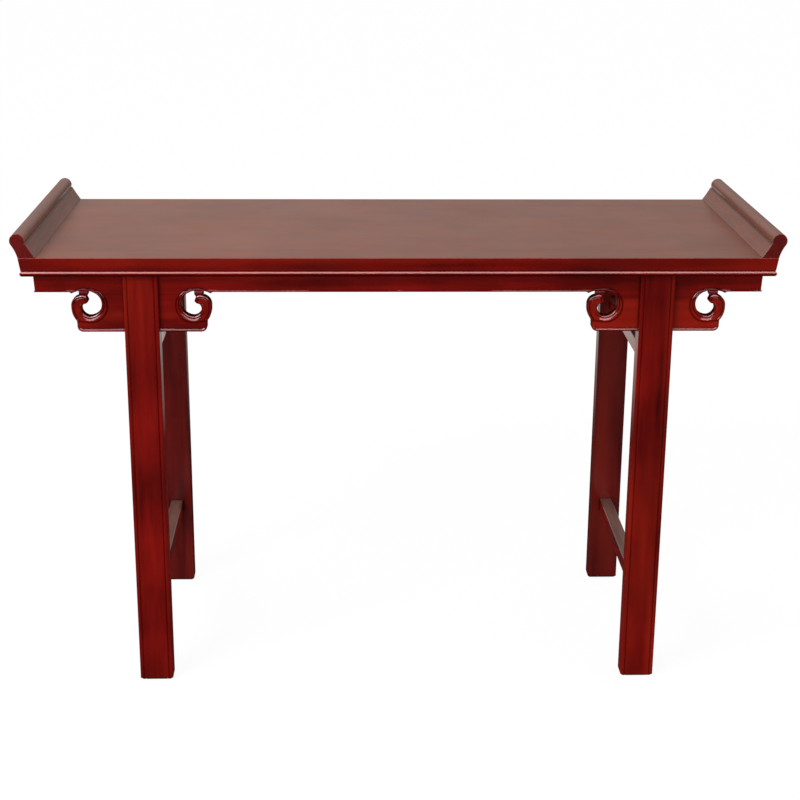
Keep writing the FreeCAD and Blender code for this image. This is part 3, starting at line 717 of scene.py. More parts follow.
def scroll_lines():
    """The lines that the carving follows: hook outside and inside, hole, rim and foot."""
    corners = scaled(WING_SHARES, WING_LENGTH / MM, WING_HEIGHT / MM)
    arch_foot = ARCH_LINE[7]
    hook = edge_along(corners[2:5])
    hook += line_through([hook[-1], (71.5, 65.2), (66.6, 64.3), (63.2, 60.6), corners[9][:2]])[1:]
    inner = edge_along(corners[9:12])
    hole = edge_along(corners[11:14]) + line_through(ARCH_LINE[:8])[1:]
    rim = line_through([corners[2][:2], (78.0, 18.9), (72.0, 18.2)])
    for degrees in range(-76, -271, -2):
        angle = math.radians(degrees)
        rim.append((RIM_CENTRE[0] + RIM_RADIUS * math.cos(angle),
                    RIM_CENTRE[1] + RIM_RADIUS * math.sin(angle)))
    rim += line_through([rim[-1], (66.0, 77.4), (74.0, 76.7), (81.0, 74.3), (86.5, 71.3),
                         arch_foot])[1:]
    foot = [(-LEG_HALF_WIDTH / MM, 0.0)] + edge_along(corners[0:3])
    lines = {"hook": hook, "inner": inner, "hole": hole, "rim": rim, "foot": foot}
    return {name: np.array(line) for name, line in lines.items()}


def ribbon_outline(lines):
    """The closed outline of the ring and its hook."""
    back = lines["hole"][::-1]
    start = lines["inner"][::-1]
    hook = lines["hook"][::-1]
    return np.vstack([lines["rim"], back[1:], start[1:], hook[1:-1]])


def ring_share(points):
    """Share that is 0 in the middle of the hook and 1 on the ring."""
    away = np.hypot(points[:, 0] - HOOK_MIDDLE[0], points[:, 1] - HOOK_MIDDLE[1])
    return np.clip((away - HOOK_REACH) / RING_BLEND, 0, 1)


def foot_share(points):
    """Share that is 1 along the wing's foot and 0 above it."""
    return np.clip((FOOT_TOP - points[:, 1]) / FOOT_FADE, 0, 1)


def ribbon_height(points, lines):
    """Height of the carved ring and hook over the board's face.

    A body slopes down to its free sides. A bead follows the hole, a brow follows the hook's outer
    edge, and a groove runs behind each of the two.
    """
    out = distances(points, lines["rim"])
    hole = distances(points, lines["hole"])
    hook = distances(points, lines["hook"])
    open_side = np.minimum(hole, distances(points, lines["inner"]))
    ring = ring_share(points)
    # On the ring the body rises from the bead all the way to the rim, on the hook by its opening
    clear = np.maximum(open_side - 4.6 * ring, 0.0)
    across = np.maximum(clear + out - RIM_ROUND, 0.1)
    fall = np.where(ring > 0.5, clear / across, clear / 3.0)
    body = (1.45 - 0.15 * ring) * slope(out / RIM_ROUND) * slope((hook - 4.2) / 3.0) * slope(fall)
    bead = 1.15 * ring * slope(hole / 2.7) * slope((BEAD_WIDTH - hole) / 1.4) * slope(out / 2.0)
    brow = slope(hook / 2.4) * slope((BROW_WIDTH - hook) / 1.5) * slope(out / 2.0)
    brow = brow * slope(open_side / 1.5)
    groove_depth, deepest = 0.5, 0.6
    groove = groove_depth * ring * line_mask(hole - BEAD_GROOVE, 0.8)
    groove += groove_depth * line_mask(hook - BROW_GROOVE, 0.8) * slope(out / 3.0)
    return np.maximum(body, np.maximum(bead, brow)) - np.minimum(groove, deepest)


def groove_shade_mask(points, lines, ribbon, edges):
    """Mask of painted shade along the grooves, rims and free edges of the carving."""
    hole = distances(points, lines["hole"])
    hook = distances(points, lines["hook"])
    foot = distances(points, lines["foot"])
    cut = np.maximum(0.9 * ring_share(points) * line_mask(hole - 4.7, 1.0),
                     0.9 * line_mask(hook - 4.6, 1.2))
    masks = [0.9 * line_mask(distances(points, lines["rim"]), 1.5),
             np.where(inside(points, ribbon), cut, 0.0),
             0.8 * foot_share(points) * line_mask(foot - 6.0, 1.2)]
    masks += [line_mask(distances(points, edge), 1.4) for edge in edges]
    return np.maximum.reduce(masks)


def post_height(points):
    """Height of the small cushion between the hook and the arch."""
    sunk, swell, end_round = 1.2, 1.9, 4.0
    across = 1 - np.abs(points[:, 0] - POST_MIDDLE[0]) / POST_HALF[0]
    up = ridge(points[:, 1], POST_MIDDLE[1], POST_HALF[1])
    return -sunk + swell * up * dome(across * end_round)


def wing_height(points, lines, ribbon, edges):
    """Height of a spandrel's carved face."""
    foot = distances(points, lines["foot"])
    bead = soft_ridge(foot, FOOT_BEAD, 2.4)
    board = foot_share(points) * (bead - 0.5 * line_mask(foot - FOOT_GROOVE, 0.6))
    on_post = (points[:, 0] > 60.0) & (points[:, 1] > 60.0)
    board = np.where(on_post, post_height(points), board)
    height = np.where(inside(points, ribbon), ribbon_height(points, lines), board)
    return height - round_over(points, edges)


def fallen(near):
    """How far a face falls away at a distance from its free edge."""
    return EDGE_ROUND * (1 - dome(near / EDGE_ROUND))


def round_over(points, edges):
    """How far a face falls away beside its free edges."""
    return fallen(np.minimum.reduce([distances(points, edge) for edge in edges]))


def plain_apron(rise, lean, bead):
    """Face of an apron at a rise over its lower edge: a bead and a leaning face above it."""
    depth = apron_depth() / MM
    face = -lean * (1 - np.clip((rise - bead - 0.5) / (depth - bead - 0.5), 0, 1))
    crest = lean * ridge(rise, bead / 2, bead / 2 + 0.1) - lean
    return np.where(rise < bead + 0.1, np.maximum(crest, face), face)


def apron_depth():
    """Height of the aprons."""
    return END_APRON_HIGH.z - END_APRON_LOW.z


def apron_height(points, lines, ribbon, edges):
    """Height of a long apron's face, in millimetres along and up the nearest wing."""
    rise = points[:, 1] - WING_HEIGHT / MM
    plain = plain_apron(rise, sizes().apron_lean / MM, sizes().apron_bead / MM)
    # Beside the leg the apron lies just behind the spandrel, and comes free of it along the wing
    behind = -0.02
    free = np.clip((points[:, 0] - FREE_FROM) / FREE_OVER, 0, 1)
    free = free * free * (3 - 2 * free)
    face = behind + (plain - behind) * free
    near = points[:, 0] < CARVED_REACH
    in_ribbon = np.zeros(len(points), bool)
    in_ribbon[near] = inside(points[near], ribbon)
    face[in_ribbon] = ribbon_height(points[in_ribbon], lines)
    fall = fallen(rise)
    fall[near] = round_over(points[near], edges)
    return face - fall


def open_at_middle(mesh):
    """Takes away the wall that a half board has at x = 0."""
    with reworked(mesh) as work:
        wall = [face for face in work.faces
                if all(abs(vert.co.x) < MERGE_DISTANCE for vert in face.verts)]
        bmesh.ops.delete(work, geom=wall, context="FACES")
    return mesh


def mirrored_half(mesh):
    """Joins a half that is open at x = 0 with its mirror image."""
    with reworked(mesh) as work:
        twin = bmesh.ops.duplicate(work, geom=work.verts[:] + work.edges[:] + work.faces[:])
        verts = [item for item in twin["geom"] if isinstance(item, bmesh.types.BMVert)]
        bmesh.ops.scale(work, vec=(-1.0, 1.0, 1.0), verts=verts)
    return mesh


def whole_board(half):
    """The whole board of a carved half, shaded smooth but for its sharp edges."""
    return tidied(mirrored_half(open_at_middle(half)), 50.0)


def spandrel_mesh():
    """A spandrel board about x = 0, with a carved scroll at both ends."""
    lines = scroll_lines()
    ribbon = ribbon_outline(lines)
    corners = scaled(WING_SHARES, WING_LENGTH / MM, WING_HEIGHT / MM)
    half = LEG_HALF_WIDTH / MM
    top = WING_HEIGHT / MM
    under_arch = [point for point in line_through(ARCH_LINE) if POST_FROM < point[0] < POST_TO]
    post = [(corners[5][0], 72.6)] + under_arch[::-1] + [(corners[6][0], 72.8)]
    edge = edge_along(corners[:6])[:-1] + post + edge_along(corners[6:])[1:]
    outline = straight_points((-half, 0.0), edge[0], 1.5) + edge
    outline += straight_points(edge[-1], (-half, top), 3.0)[1:] + [(-half, top)]
    outline += straight_points((-half, top), (-half, 0.0), 3.0)[1:]
    # The free edges: round the wing up to the post, and from the post round the hole
    free = np.array([point for point in [(-half, 0.0)] + edge if point[1] < top + 0.1])
    split_at = next(index for index, point in enumerate(free) if point[1] > 69.0)
    free_edges = [free[:split_at + 1], free[split_at + 1:]]

    step = sizes().carving_step / MM
    carved_from = 26.0
    carved = grid_points(carved_from, WING_LENGTH / MM, 0.3, top + 2.5, step)
    plain = grid_points(-half + 1.5, carved_from - 0.5, 8.0, top - 1.0, 4.0)
    along = np.arange(-half + 1.0, carved_from, 3.0)
    rows = [np.stack([along, np.full(len(along), up)], 1) for up in FOOT_ROWS]
    points = np.vstack([carved, plain] + rows)
    relief_share = sizes().relief / (DRAWN_RELIEF * MM)

    def to_wing(places):
        return np.stack([places[:, 0] / MM - half, (places[:, 1] - SPANDREL_BOTTOM) / MM], 1)

    def height(places):
        return wing_height(to_wing(places), lines, ribbon, free_edges) * MM * relief_share

    # Painted shade along the carving's grooves, rims and free edges
    def thick(places):
        return groove_shade_mask(to_wing(places), lines, ribbon, free_edges)

    def placed(values):
        values = np.array(values)
        return np.stack([(values[:, 0] + half) * MM, values[:, 1] * MM + SPANDREL_BOTTOM], 1)

    return whole_board(carved_board(placed(outline), placed(points), APRON_FRONT, APRON_BACK,
                                    height, thick))


def long_apron_mesh():
    """The front apron, with an arch over each scroll and mitred ends."""
    lines = scroll_lines()
    ribbon = ribbon_outline(lines)
    leg = LEG_MIDDLE / MM
    half = LEG_HALF_WIDTH / MM
    end = APRON_END / MM
    bottom = APRON_BOTTOM / MM
    top = SLAB_BOTTOM / MM
    lift = SPANDREL_BOTTOM / MM
    wing_top = WING_HEIGHT / MM
    arch = line_through(ARCH_LINE)
    inner_arch = [(leg - half - u, lift + v) for u, v in reversed(arch)]
    outer_arch = [(leg + half + u, lift + v) for u, v in arch]
    edge = straight_points((0.0, bottom), inner_arch[0], 6.0) + inner_arch
    edge += straight_points(inner_arch[-1], outer_arch[0], 3.0)[1:] + outer_arch
    edge += straight_points(outer_arch[-1], (end, bottom), 6.0)[1:]
    outline = edge + straight_points((end, bottom), (end, top), 0.6)
    outline += straight_points((end, top), (0.0, top), 8.0)
    outline += straight_points((0.0, top), (0.0, bottom), 3.0)

    # The carved stretch on both sides of the leg, and the plain stretches beyond it
    carved_from, carved_to = 38.0, 98.0
    along = np.concatenate([np.arange(3.0, leg - half - carved_to, 6.0),
                            np.arange(leg + half + carved_to, end - 1.0, 6.0)])
    rows = [np.stack([along, np.full(len(along), bottom + up)], 1) for up in APRON_ROWS]
    step = sizes().carving_step / MM
    near = grid_points(carved_from, carved_to, wing_top - 2.4, wing_top + 8.5, step)
    above = grid_points(carved_from, carved_to, wing_top + 10.0, wing_top + 36.0, 5.0)
    for side in (-1, 1):
        for part in (near, above):
            rows.append(np.stack([leg + side * (half + part[:, 0]), part[:, 1] + lift], 1))
    behind = grid_points(leg - half - 37.0, leg + half + 37.0, bottom + 3.0, top - 2.0, 8.0)
    points = np.vstack(rows + [behind])

    # The arch's free edge, left out over the post, where spandrel and apron touch
    arch_line = np.array(arch)
    edges = [arch_line[arch_line[:, 0] < 61.0],
             np.vstack([arch_line[arch_line[:, 0] > 77.0], [(110.0, wing_top)]])]

    def to_wing(places):
        across = np.abs(places[:, 0] / MM - leg) - half
        return np.stack([across, places[:, 1] / MM - lift], 1)

    def height(places):
        return apron_height(to_wing(places), lines, ribbon, edges) * MM

    # Painted shade along the carving, and a line of painted shade at the wings' top height beyond
    # it
    def thick(places):
        wing = to_wing(places)
        plain = 0.6 * line_mask(wing[:, 1] - wing_top, 0.9)
        return np.where(wing[:, 0] < CARVED_REACH, groove_shade_mask(wing, lines, ribbon, edges), plain)

    mesh = carved_board(np.array(outline) * MM, points * MM, APRON_FRONT, APRON_BACK,
                        height, thick)
    for vert in mesh.vertices:
        if vert.co.x > APRON_END - MERGE_DISTANCE:
            vert.co.x = APRON_END - (APRON_FRONT + vert.co.y)
    return whole_board(mesh)


# The other pieces

def rail_outline(outer):
    """Section of a top rail whose outer edge is that far from the middle of the table."""
    size = sizes()
    band_foot = SLAB_TOP - size.band_height
    bead_top = band_foot - size.quirk_height
    bead = outer - size.bead_inset
    quirk = outer - size.quirk_depth
    inner = outer - RAIL_WIDTH
    groove = inner + PANEL_GROOVE_DEPTH
    groove_low = SLAB_TOP - PANEL_GROOVE_LOW
    groove_high = SLAB_TOP - PANEL_GROOVE_HIGH
    corners = [(outer, SLAB_TOP, size.edge),
               (outer - size.band_lean, band_foot, 0.5 * MM),
               (quirk, band_foot - 0.3 * MM, 0.2 * MM),
               (quirk, bead_top, 0.2 * MM)]
    # The bead's corners: how far behind its outermost line and how far down, and their radius
    for inset, drop, radius in ((2.0, 0.0, 0.2), (1.75, 0.2, 0.1), (0.5, 2.5, 0.3),
                                (0.2, 3.8, 0.5)):
        corners.append((bead - inset * MM, bead_top - drop * MM, radius * MM))
    corners += [(bead - 1.0 * MM, SLAB_BOTTOM + 1.9 * MM, 0.8 * MM),
                (quirk, SLAB_BOTTOM, 0.0),
                (inner, SLAB_BOTTOM, 1.0 * MM),
                (inner, groove_low, 0.0),
                (groove, groove_low, 0.0),
                (groove, groove_high, 0.0),
                (inner, groove_high, 0.0),
                (inner, SLAB_TOP, 0.0)]
    return rounded(corners)


def flange_outline():
    """Section of a flange, as its distance from the middle of the table and its height."""
    corners = scaled(FLANGE_SHARES, FLANGE_WIDTH, FLANGE_HIGH.z - SLAB_TOP)
    return [(FLANGE_LOW.x + x, SLAB_TOP + z) for x, z in traced(corners, 0.5 * MM)]


def leg_outline():
    """Plan of a leg about its own middle: a bead and a groove along each front edge."""
    size = sizes()
    half = LEG_HALF_WIDTH
    back = (LEG_FRONT - LEG_BACK) / 2
    front = -back
    bead_in = half - size.leg_bead
    depth = size.leg_groove
    right = [(bead_in - 2.2 * MM, front), (bead_in - 1.5 * MM, front + 0.15 * MM),
             (bead_in - 0.8 * MM, front + 0.45 * depth),
             (bead_in - 0.2 * MM, front + 0.95 * depth), (bead_in + 0.2 * MM, front + depth)]
    crest_end = (half - 1.0 * MM, front + 0.6 * MM)
    bead_end = (half, front + 2.4 * MM)
    right += arc_points((bead_in + 0.3 * MM, front + 0.8 * depth), (bead_in + 3.0 * MM, front),
                        crest_end, 0.5 * MM)
    right += arc_points(crest_end, (half - 0.3 * MM, front + 1.3 * MM), bead_end, 0.4 * MM)
    right += [bead_end]
    right += arc_points((half, back - 1.5 * MM), (half - 0.44 * MM, back - 0.44 * MM),
                        (half - 1.5 * MM, back), 0.4 * MM)
    right += [(half - 1.5 * MM, back)]
    return right + [(-x, y) for x, y in reversed(right)]


def leg_mesh():
    """A front leg about its own middle, with its forked top and chamfered foot."""
    size = sizes()
    outline = leg_outline()
    half = LEG_HALF_WIDTH
    front = (LEG_FRONT - LEG_BACK) / 2
    shares = ((half - size.foot_chamfer) / half, (front - size.foot_chamfer) / front)
    count = len(outline)
    vertices = [(x * shares[0], y * shares[1], 0.0) for x, y in outline]
    for height in (size.foot_chamfer, SLAB_BOTTOM):
        vertices += [(x, y, height) for x, y in outline]
    faces = [list(range(count))[::-1], list(range(2 * count, 3 * count))]
    for ring in (0, count):
        for index in range(count):
            after = (index + 1) % count
            faces.append([ring + index, ring + after, ring + count + after, ring + count + index])
    mesh = bpy.data.meshes.new("leg")
    mesh.from_pydata(vertices, [], faces)
    slot_front = -front + (LEG_FRONT - APRON_FRONT)
    slot = box_object("slot", (-2 * half, slot_front, SPANDREL_BOTTOM),
                      (2 * half, slot_front + APRON_THICKNESS, SLAB_TOP))
    forked = modified(tidied(mesh), "BOOLEAN", operation="DIFFERENCE", solver="EXACT",
                      object=slot)
    bpy.data.objects.remove(slot)
    return tidied(forked)


def box_object(name, low, high):
    """A box between two corners."""
    work = bmesh.new()
    bmesh.ops.create_cube(work, size=1.0)
    for vert in work.verts:
        vert.co = [low[axis] if vert.co[axis] < 0 else high[axis] for axis in range(3)]
    mesh = bpy.data.meshes.new(name)
    work.to_mesh(mesh)
    work.free()
    return linked(name, mesh)


def cad_copy(node, ease):
    """A merged copy of a CAD node's mesh with its edges eased."""
    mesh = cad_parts[node].data.copy()
    own_normals = mesh.attributes.get("custom_normal")
    if own_normals:
        mesh.attributes.remove(own_normals)
    with reworked(mesh) as work:
        bmesh.ops.remove_doubles(work, verts=work.verts, dist=MERGE_DISTANCE)
        bmesh.ops.dissolve_limit(work, angle_limit=math.radians(0.5), verts=work.verts,
                                 edges=work.edges)
    return tidied(eased(mesh, ease) if ease else mesh)


# Materials

def effect_group(name, inputs, fill):
    """The shader node group of this name, built once.

    The inputs are (name, kind, default). fill(nodes, given) returns the results by their names.
    """
    tree = bpy.data.node_groups.get(name)
    if tree:
        return tree
    tree = bpy.data.node_groups.new(name, "ShaderNodeTree")
    for label, kind, default in inputs:
        socket = tree.interface.new_socket(label, in_out="INPUT", socket_type="NodeSocket" + kind)
        if default is not None:
            socket.default_value = default
    results = fill(tree.nodes, tree.nodes.new("NodeGroupInput").outputs)
    for label in results:
        tree.interface.new_socket(label, in_out="OUTPUT", socket_type="NodeSocketFloat")
    made_node(tree.nodes, "NodeGroupOutput", results)
    return tree


def noise_node(nodes, place, scale, detail, roughness=0.55, distortion=0.0):
    """A noise texture at a place, with its value as the result."""
    return made_node(nodes, "ShaderNodeTexNoise",
                     {"Vector": place, "Scale": scale, "Detail": detail,
                      "Roughness": roughness, "Distortion": distortion}).outputs["Fac"]


def grain_group():
    """Long streaks, fine fibres, clouds and warm patches of wood under lacquer."""

    def fill(nodes, given):
        stretched = made_node(nodes, "ShaderNodeVectorMath",
                              {0: given["Place"], 1: given["Stretch"]}, operation="MULTIPLY")
        along = stretched.outputs[0]
        streak = noise_node(nodes, along, 2.0, 3.0, 0.55, 0.3)
        fibre = noise_node(nodes, along, 7.0, 3.0, 0.6)
        cloud = noise_node(nodes, given["Place"], 5.0, 3.0, 0.6)
        warm = noise_node(nodes, along, 0.9, 2.0, 0.5)
        return {"Streak": spread(nodes, streak, 0.32, 0.68),
                "Fibre": spread(nodes, fibre, 0.32, 0.68),
                "Cloud": spread(nodes, cloud, 0.36, 0.62),
                "Warm": spread(nodes, warm, 0.46, 0.68)}

    return effect_group("grain", [("Place", "Vector", None), ("Stretch", "Vector", None)], fill)


def film_group():
    """Ripples, dust and smudges of a brushed and rubbed lacquer film."""

    def fill(nodes, given):
        place = given["Place"]
        wide = noise_node(nodes, place, 22.0, 2.0)
        fine = noise_node(nodes, place, 160.0, 2.0)
        smudge = noise_node(nodes, place, 9.0, 5.0, 0.65)
        cells = made_node(nodes, "ShaderNodeTexVoronoi", {"Vector": place, "Scale": 95.0})
        return {"Ripple": total(nodes, wide, product(nodes, fine, 0.25)),
                "Smudge": spread(nodes, smudge, 0.35, 0.75),
                "Dust": spread(nodes, cells.outputs["Distance"], 0.045, 0.02)}

    return effect_group("lacquer_film", [("Place", "Vector", None)], fill)


def shade_and_edge_group():
    """Masks of creases, where shade is painted, and of edges, which are painted lighter: partly
    lacquer rubbed thin, partly a painted highlight.
    """

    def fill(nodes, given):
        # Ambient occlusion, which becomes painted shade in creases
        shade = made_node(nodes, "ShaderNodeAmbientOcclusion", {"Distance": given["Reach"]},
                          samples=6)
        crease_shade = spread(nodes, shade.outputs["AO"], 0.9, 0.45)
        soft = made_node(nodes, "ShaderNodeBevel", {"Radius": given["Edge radius"]}, samples=4)
        agree = made_node(nodes, "ShaderNodeVectorMath",
                          {0: soft.outputs["Normal"], 1: surface(nodes, "Normal")},
                          operation="DOT_PRODUCT")
        edge = spread(nodes, agree.outputs["Value"], 0.985, 0.90)
        return {"Crease shade": crease_shade, "Edge": product(nodes, edge, rest(nodes, crease_shade, clamp=True))}

    return effect_group("painted_shade_and_lit_edges",
                        [("Reach", "Float", 0.004), ("Edge radius", "Float", 0.0012)], fill)


def upper_face_group():
    """Masks of the faces that look up and of those that lie level."""

    def fill(nodes, given):
        up = split(nodes, surface(nodes, "Normal"))["Z"]
        return {"Upper": spread(nodes, up, 0.2, 0.45), "Level": spread(nodes, up, 0.85, 0.98)}

    return effect_group("upper_face", [], fill)


def placed_group(nodes, tree, **inputs):
    """The outputs of a node group placed in a material."""
    node = made_node(nodes, "ShaderNodeGroup", node_tree=tree)
    set_inputs(node, inputs)
    return node.outputs


def mixed(nodes, share, first, second):
    """A mix of two colours, each a socket or a tuple, by a share."""
    node = made_node(nodes, "ShaderNodeMix", {0: share}, data_type="RGBA")
    ends = [item for item in node.inputs if item.type == "RGBA"]
    for socket, value in zip(ends, (first, second)):
        if isinstance(value, tuple):
            socket.default_value = (*value, 1.0)
        else:
            nodes.id_data.links.new(value, socket)
    return next(item for item in node.outputs if item.type == "RGBA")


def grain_share(nodes, grain, streak, fibre, cloud):
    """How far the grain turns the dark colour into the light one, from the weight of each part."""
    return weighted_sum(nodes, (grain["Streak"], streak), (grain["Fibre"], fibre),
                        (grain["Cloud"], cloud))


def end_grain(nodes, axis):
    """Mask of the faces across the grain, which soak up more lacquer and look darker."""
    facing = made_node(nodes, "ShaderNodeVectorMath", {0: surface(nodes, "True Normal"), 1: axis},
                       operation="DOT_PRODUCT")
    return spread(nodes, math_node(nodes, "ABSOLUTE", facing.outputs["Value"]), 0.7, 0.95)


def inward_faces(nodes, place):
    """Mask of the faces that look toward the middle of the table along its length."""
    facing = split(nodes, surface(nodes, "Normal"))["X"]
    return spread(nodes, product(nodes, split(nodes, place)["X"], facing), 0.0, -0.06)


def shade_band(nodes, place, height, half_width):
    """Mask of a level line at a height, where shade is painted."""
    off = math_node(nodes, "SUBTRACT", split(nodes, place)["Z"], height)
    return spread(nodes, math_node(nodes, "ABSOLUTE", off), half_width, half_width * 0.6)


def film_bump(nodes, grain, film):
    """The normal of a surface with the film's ripples and dust and the fibres under it."""
    height = total(nodes, product(nodes, film["Ripple"], 0.6), product(nodes, grain["Fibre"], 0.3))
    height = total(nodes, height, product(nodes, film["Dust"], 0.15))
    bump = made_node(nodes, "ShaderNodeBump",
                     {"Strength": 0.08, "Distance": 0.0005, "Height": height})
    return bump.outputs["Normal"]


def coat_weight(nodes, grain, painted_shade_share):
    """How strong the coat is: weaker where shade is painted and where it is seen along its surface.
    """
    gleam = total(nodes, product(nodes, grain["Fibre"], 0.36), product(nodes, grain["Cloud"], 0.12))
    gleam = total(nodes, gleam, 0.50)
    dulled = rest(nodes, product(nodes, painted_shade_share, 0.9), clamp=True)
    aside = nodes.new("ShaderNodeLayerWeight")
    grazing = product(nodes, spread(nodes, aside.outputs["Facing"], 0.86, 0.97), 0.9)
    dulled = product(nodes, dulled, rest(nodes, grazing))
    return product(nodes, gleam, dulled, clamp=True)


def wood_material(name, light, dark, stretch, roughness, upper=None, end_axis=None, shade_bands=()):
    """Lacquered wood with its grain along the axis that stretch leaves longest.

    upper is (light, dark, roughness) for the faces that look up, a colour that is partly painted
    reflection. end_axis is the direction of the grain where its ends show. Each of the shade bands
    is the height and half the width of a line of painted shade.
    """
    material = bpy.data.materials.get(name)
    if material:
        return material
    material = bpy.data.materials.new(name)
    material.use_nodes = True
    nodes = material.node_tree.nodes
    place = nodes.new("ShaderNodeTexCoord").outputs["Object"]
    grain = placed_group(nodes, grain_group(), Place=place, Stretch=stretch)
    film = placed_group(nodes, film_group(), Place=place)
    shade_and_edges = placed_group(nodes, shade_and_edge_group())

    # The wood's own colour, with darker ends and warm patches
    streak = grain_share(nodes, grain, streak=0.36, fibre=0.26, cloud=0.46)
    if end_axis:
        soaked = product(nodes, end_grain(nodes, end_axis), 0.5)
        streak = product(nodes, streak, rest(nodes, soaked))
    glow = (light[0] * 1.5, light[1] * 3.2, light[2] * 1.8)
    colour = mixed(nodes, streak, dark, light)
    colour = mixed(nodes, product(nodes, grain["Warm"], 0.7), colour, glow)
    rough = total(nodes, product(nodes, film["Smudge"], 0.05), roughness - 0.02)

    # Another colour and gloss on the faces that look up, and on the flanges' inner faces. The
    # colour is partly the top's own tone and partly painted reflection of the pale room; on the
    # beads' upper slopes it adds a painted highlight
    if upper:
        upper_light, upper_dark, upper_rough = upper
        faces = placed_group(nodes, upper_face_group())
        mask, level = faces["Upper"], faces["Level"]
        if end_axis:
            inward = inward_faces(nodes, place)
            mask = math_node(nodes, "MAXIMUM", mask, inward)
        thread = grain_share(nodes, grain, streak=0.14, fibre=0.64, cloud=0.22)
        colour = mixed(nodes, mask, colour, mixed(nodes, thread, upper_dark, upper_light))
        rough = total(nodes, rough, product(nodes, level, upper_rough - roughness))
        matt = product(nodes, grain["Fibre"], 0.06)
        rough = total(nodes, rough, product(nodes, level, matt))

    # Painted shade in creases, along the carved lines and along the shade bands; edges are painted
    # lighter, partly lacquer rubbed thin and partly a painted highlight
    carved = made_node(nodes, "ShaderNodeAttribute", attribute_name="painted_shade_lines")
    painted_shade = math_node(nodes, "MAXIMUM", shade_and_edges["Crease shade"], carved.outputs["Fac"])
    for height, half_width in shade_bands:
        line = shade_band(nodes, place, height, half_width)
        if end_axis:
            line = product(nodes, line, inward)
        painted_shade = math_node(nodes, "MAXIMUM", painted_shade, line)
    painted_shade_share = product(nodes, painted_shade, 0.85)
    rubbed = product(nodes, shade_and_edges["Edge"], 0.4)
    if upper:
        painted_shade_share = product(nodes, painted_shade_share, rest(nodes, level))
        rubbed = product(nodes, rubbed, rest(nodes, mask))
    colour = mixed(nodes, painted_shade_share, colour, tuple(part * 0.2 for part in dark))
    # Lighter edges: partly lacquer rubbed thin, partly a painted highlight
    worn_and_lit_edge = tuple(min(1.0, part * 1.5 + 0.006) for part in light)
    colour = mixed(nodes, rubbed, colour, worn_and_lit_edge)
    rough = total(nodes, rough, product(nodes, film["Dust"], 0.08), clamp=True)

    inputs = {"Base Color": colour, "Roughness": rough, "Normal": film_bump(nodes, grain, film),
              "IOR": 1.5}
    if upper:
        inputs["Specular IOR Level"] = 0.42 if end_axis else 0.48
    else:
        # The gloss is a coat
        inputs |= {"Specular IOR Level": 0.0, "Coat IOR": 1.6, "Coat Roughness": roughness,
                   "Coat Weight": coat_weight(nodes, grain, painted_shade_share)}
    set_inputs(nodes["Principled BSDF"], inputs)
    return material


def red_lacquer(axis, kind="plain"):
    """Red lacquer over wood whose grain runs along x, y or z.

    Kinds: plain, rear (a darker copy, painted shade for the back legs), top (a browner upper face,
    partly painted reflection, and painted shade lines in the moulding), painted_sheen (a dull,
    paler upper face, a painted reflection) and flange (browner inner faces, partly painted
    reflection, dark end grain and a painted shade line in the crease).
    """
    look = finish()
    names = {"x": "lengthwise", "y": "crosswise", "z": "upright"}
    dark_end_top = tuple(part * 0.6 for part in look.end_top)
    upper = {"top": (tuple(look.top), tuple(look.top_dark), look.top_gloss),
             "flange": (tuple(look.end_top), dark_end_top, look.top_gloss),
             "painted_sheen": (tuple(look.stretcher_sheen), tuple(look.stretcher_sheen_streak), 0.4)}.get(kind)
    # The back legs' darker copy of the red is a painted shade; rails and flanges take a darker red
    # too
    share = {"rear": 0.6, "top": 0.8, "flange": 0.9}.get(kind, 1.0)
    gloss = look.gloss + {"rear": 0.14, "flange": 0.14}.get(kind, 0.0)
    # Lines of painted shade in the quirk, under the bead and in the flange's crease, each with its
    # height and half its width
    half_quirk = sizes().quirk_height / 2
    quirk = (SLAB_TOP - sizes().band_height - half_quirk, half_quirk + 0.7 * MM)
    bead_foot = (SLAB_BOTTOM + 1.2 * MM, 3.0 * MM)
    crease = (SLAB_TOP + CREASE_SHARE * (FLANGE_HIGH.z - SLAB_TOP), 1.7 * MM)
    return wood_material(f"red_lacquer_{names[axis]}_{kind}",
                         tuple(part * share for part in look.lacquer),
                         tuple(part * share for part in look.lacquer_dark),
                         GRAIN_STRETCH[axis], gloss, upper,
                         (0.0, 1.0, 0.0) if kind == "flange" else None,
                         {"top": (quirk, bead_foot), "flange": (crease,)}.get(kind, ()))


def top_lacquer():
    """Lacquer of the panel boards."""
    look = finish()
    upper = (tuple(look.top), tuple(look.top_dark), look.top_gloss)
    return wood_material("top_lacquer_boards", tuple(look.lacquer), tuple(look.lacquer_dark),
                         GRAIN_STRETCH["x"], look.gloss, upper)


def inner_wood(axis):
    """Stained wood of the hidden members."""
    look = finish()
    return wood_material("inner_wood_" + axis, tuple(look.inner), tuple(look.inner_dark),
                         GRAIN_STRETCH[axis], 0.55)


# Operators: one for each piece or group of like pieces

class TopFrame(bpy.types.Operator):
    """Builds the four mitred rails of the top with their moulded edge"""

    bl_idname = "altar_table.top_frame"
    bl_label = "Top frame"

    def execute(self, context):
        lacquer = red_lacquer("x", "top")
        long_rail = moulding(rail_outline(HALF_DEPTH), 2 * HALF_LENGTH, HALF_DEPTH, True, lacquer)
        end_rail = moulding(rail_outline(HALF_LENGTH), 2 * HALF_DEPTH, HALF_LENGTH, True, lacquer)
        for side, degrees, source in (("front", 0, long_rail), ("right", 90, end_rail),
                                      ("back", 180, long_rail), ("left", 270, end_rail)):
            mesh = flat_shaded_weights(tidied(turned_copy(source, degrees)))
            piece(f"rail_{side}", mesh, lacquer, "red_lacquer", f"top_{side}_rail")
        return {"FINISHED"}


def closed_gap(x):
    """Moves the upper end of a panel board to the rail, where lacquer fills the narrow gap."""
    rail = HALF_LENGTH - RAIL_WIDTH
    return math.copysign(rail, x) if abs(abs(x) - rail) < 0.5 * MM else x


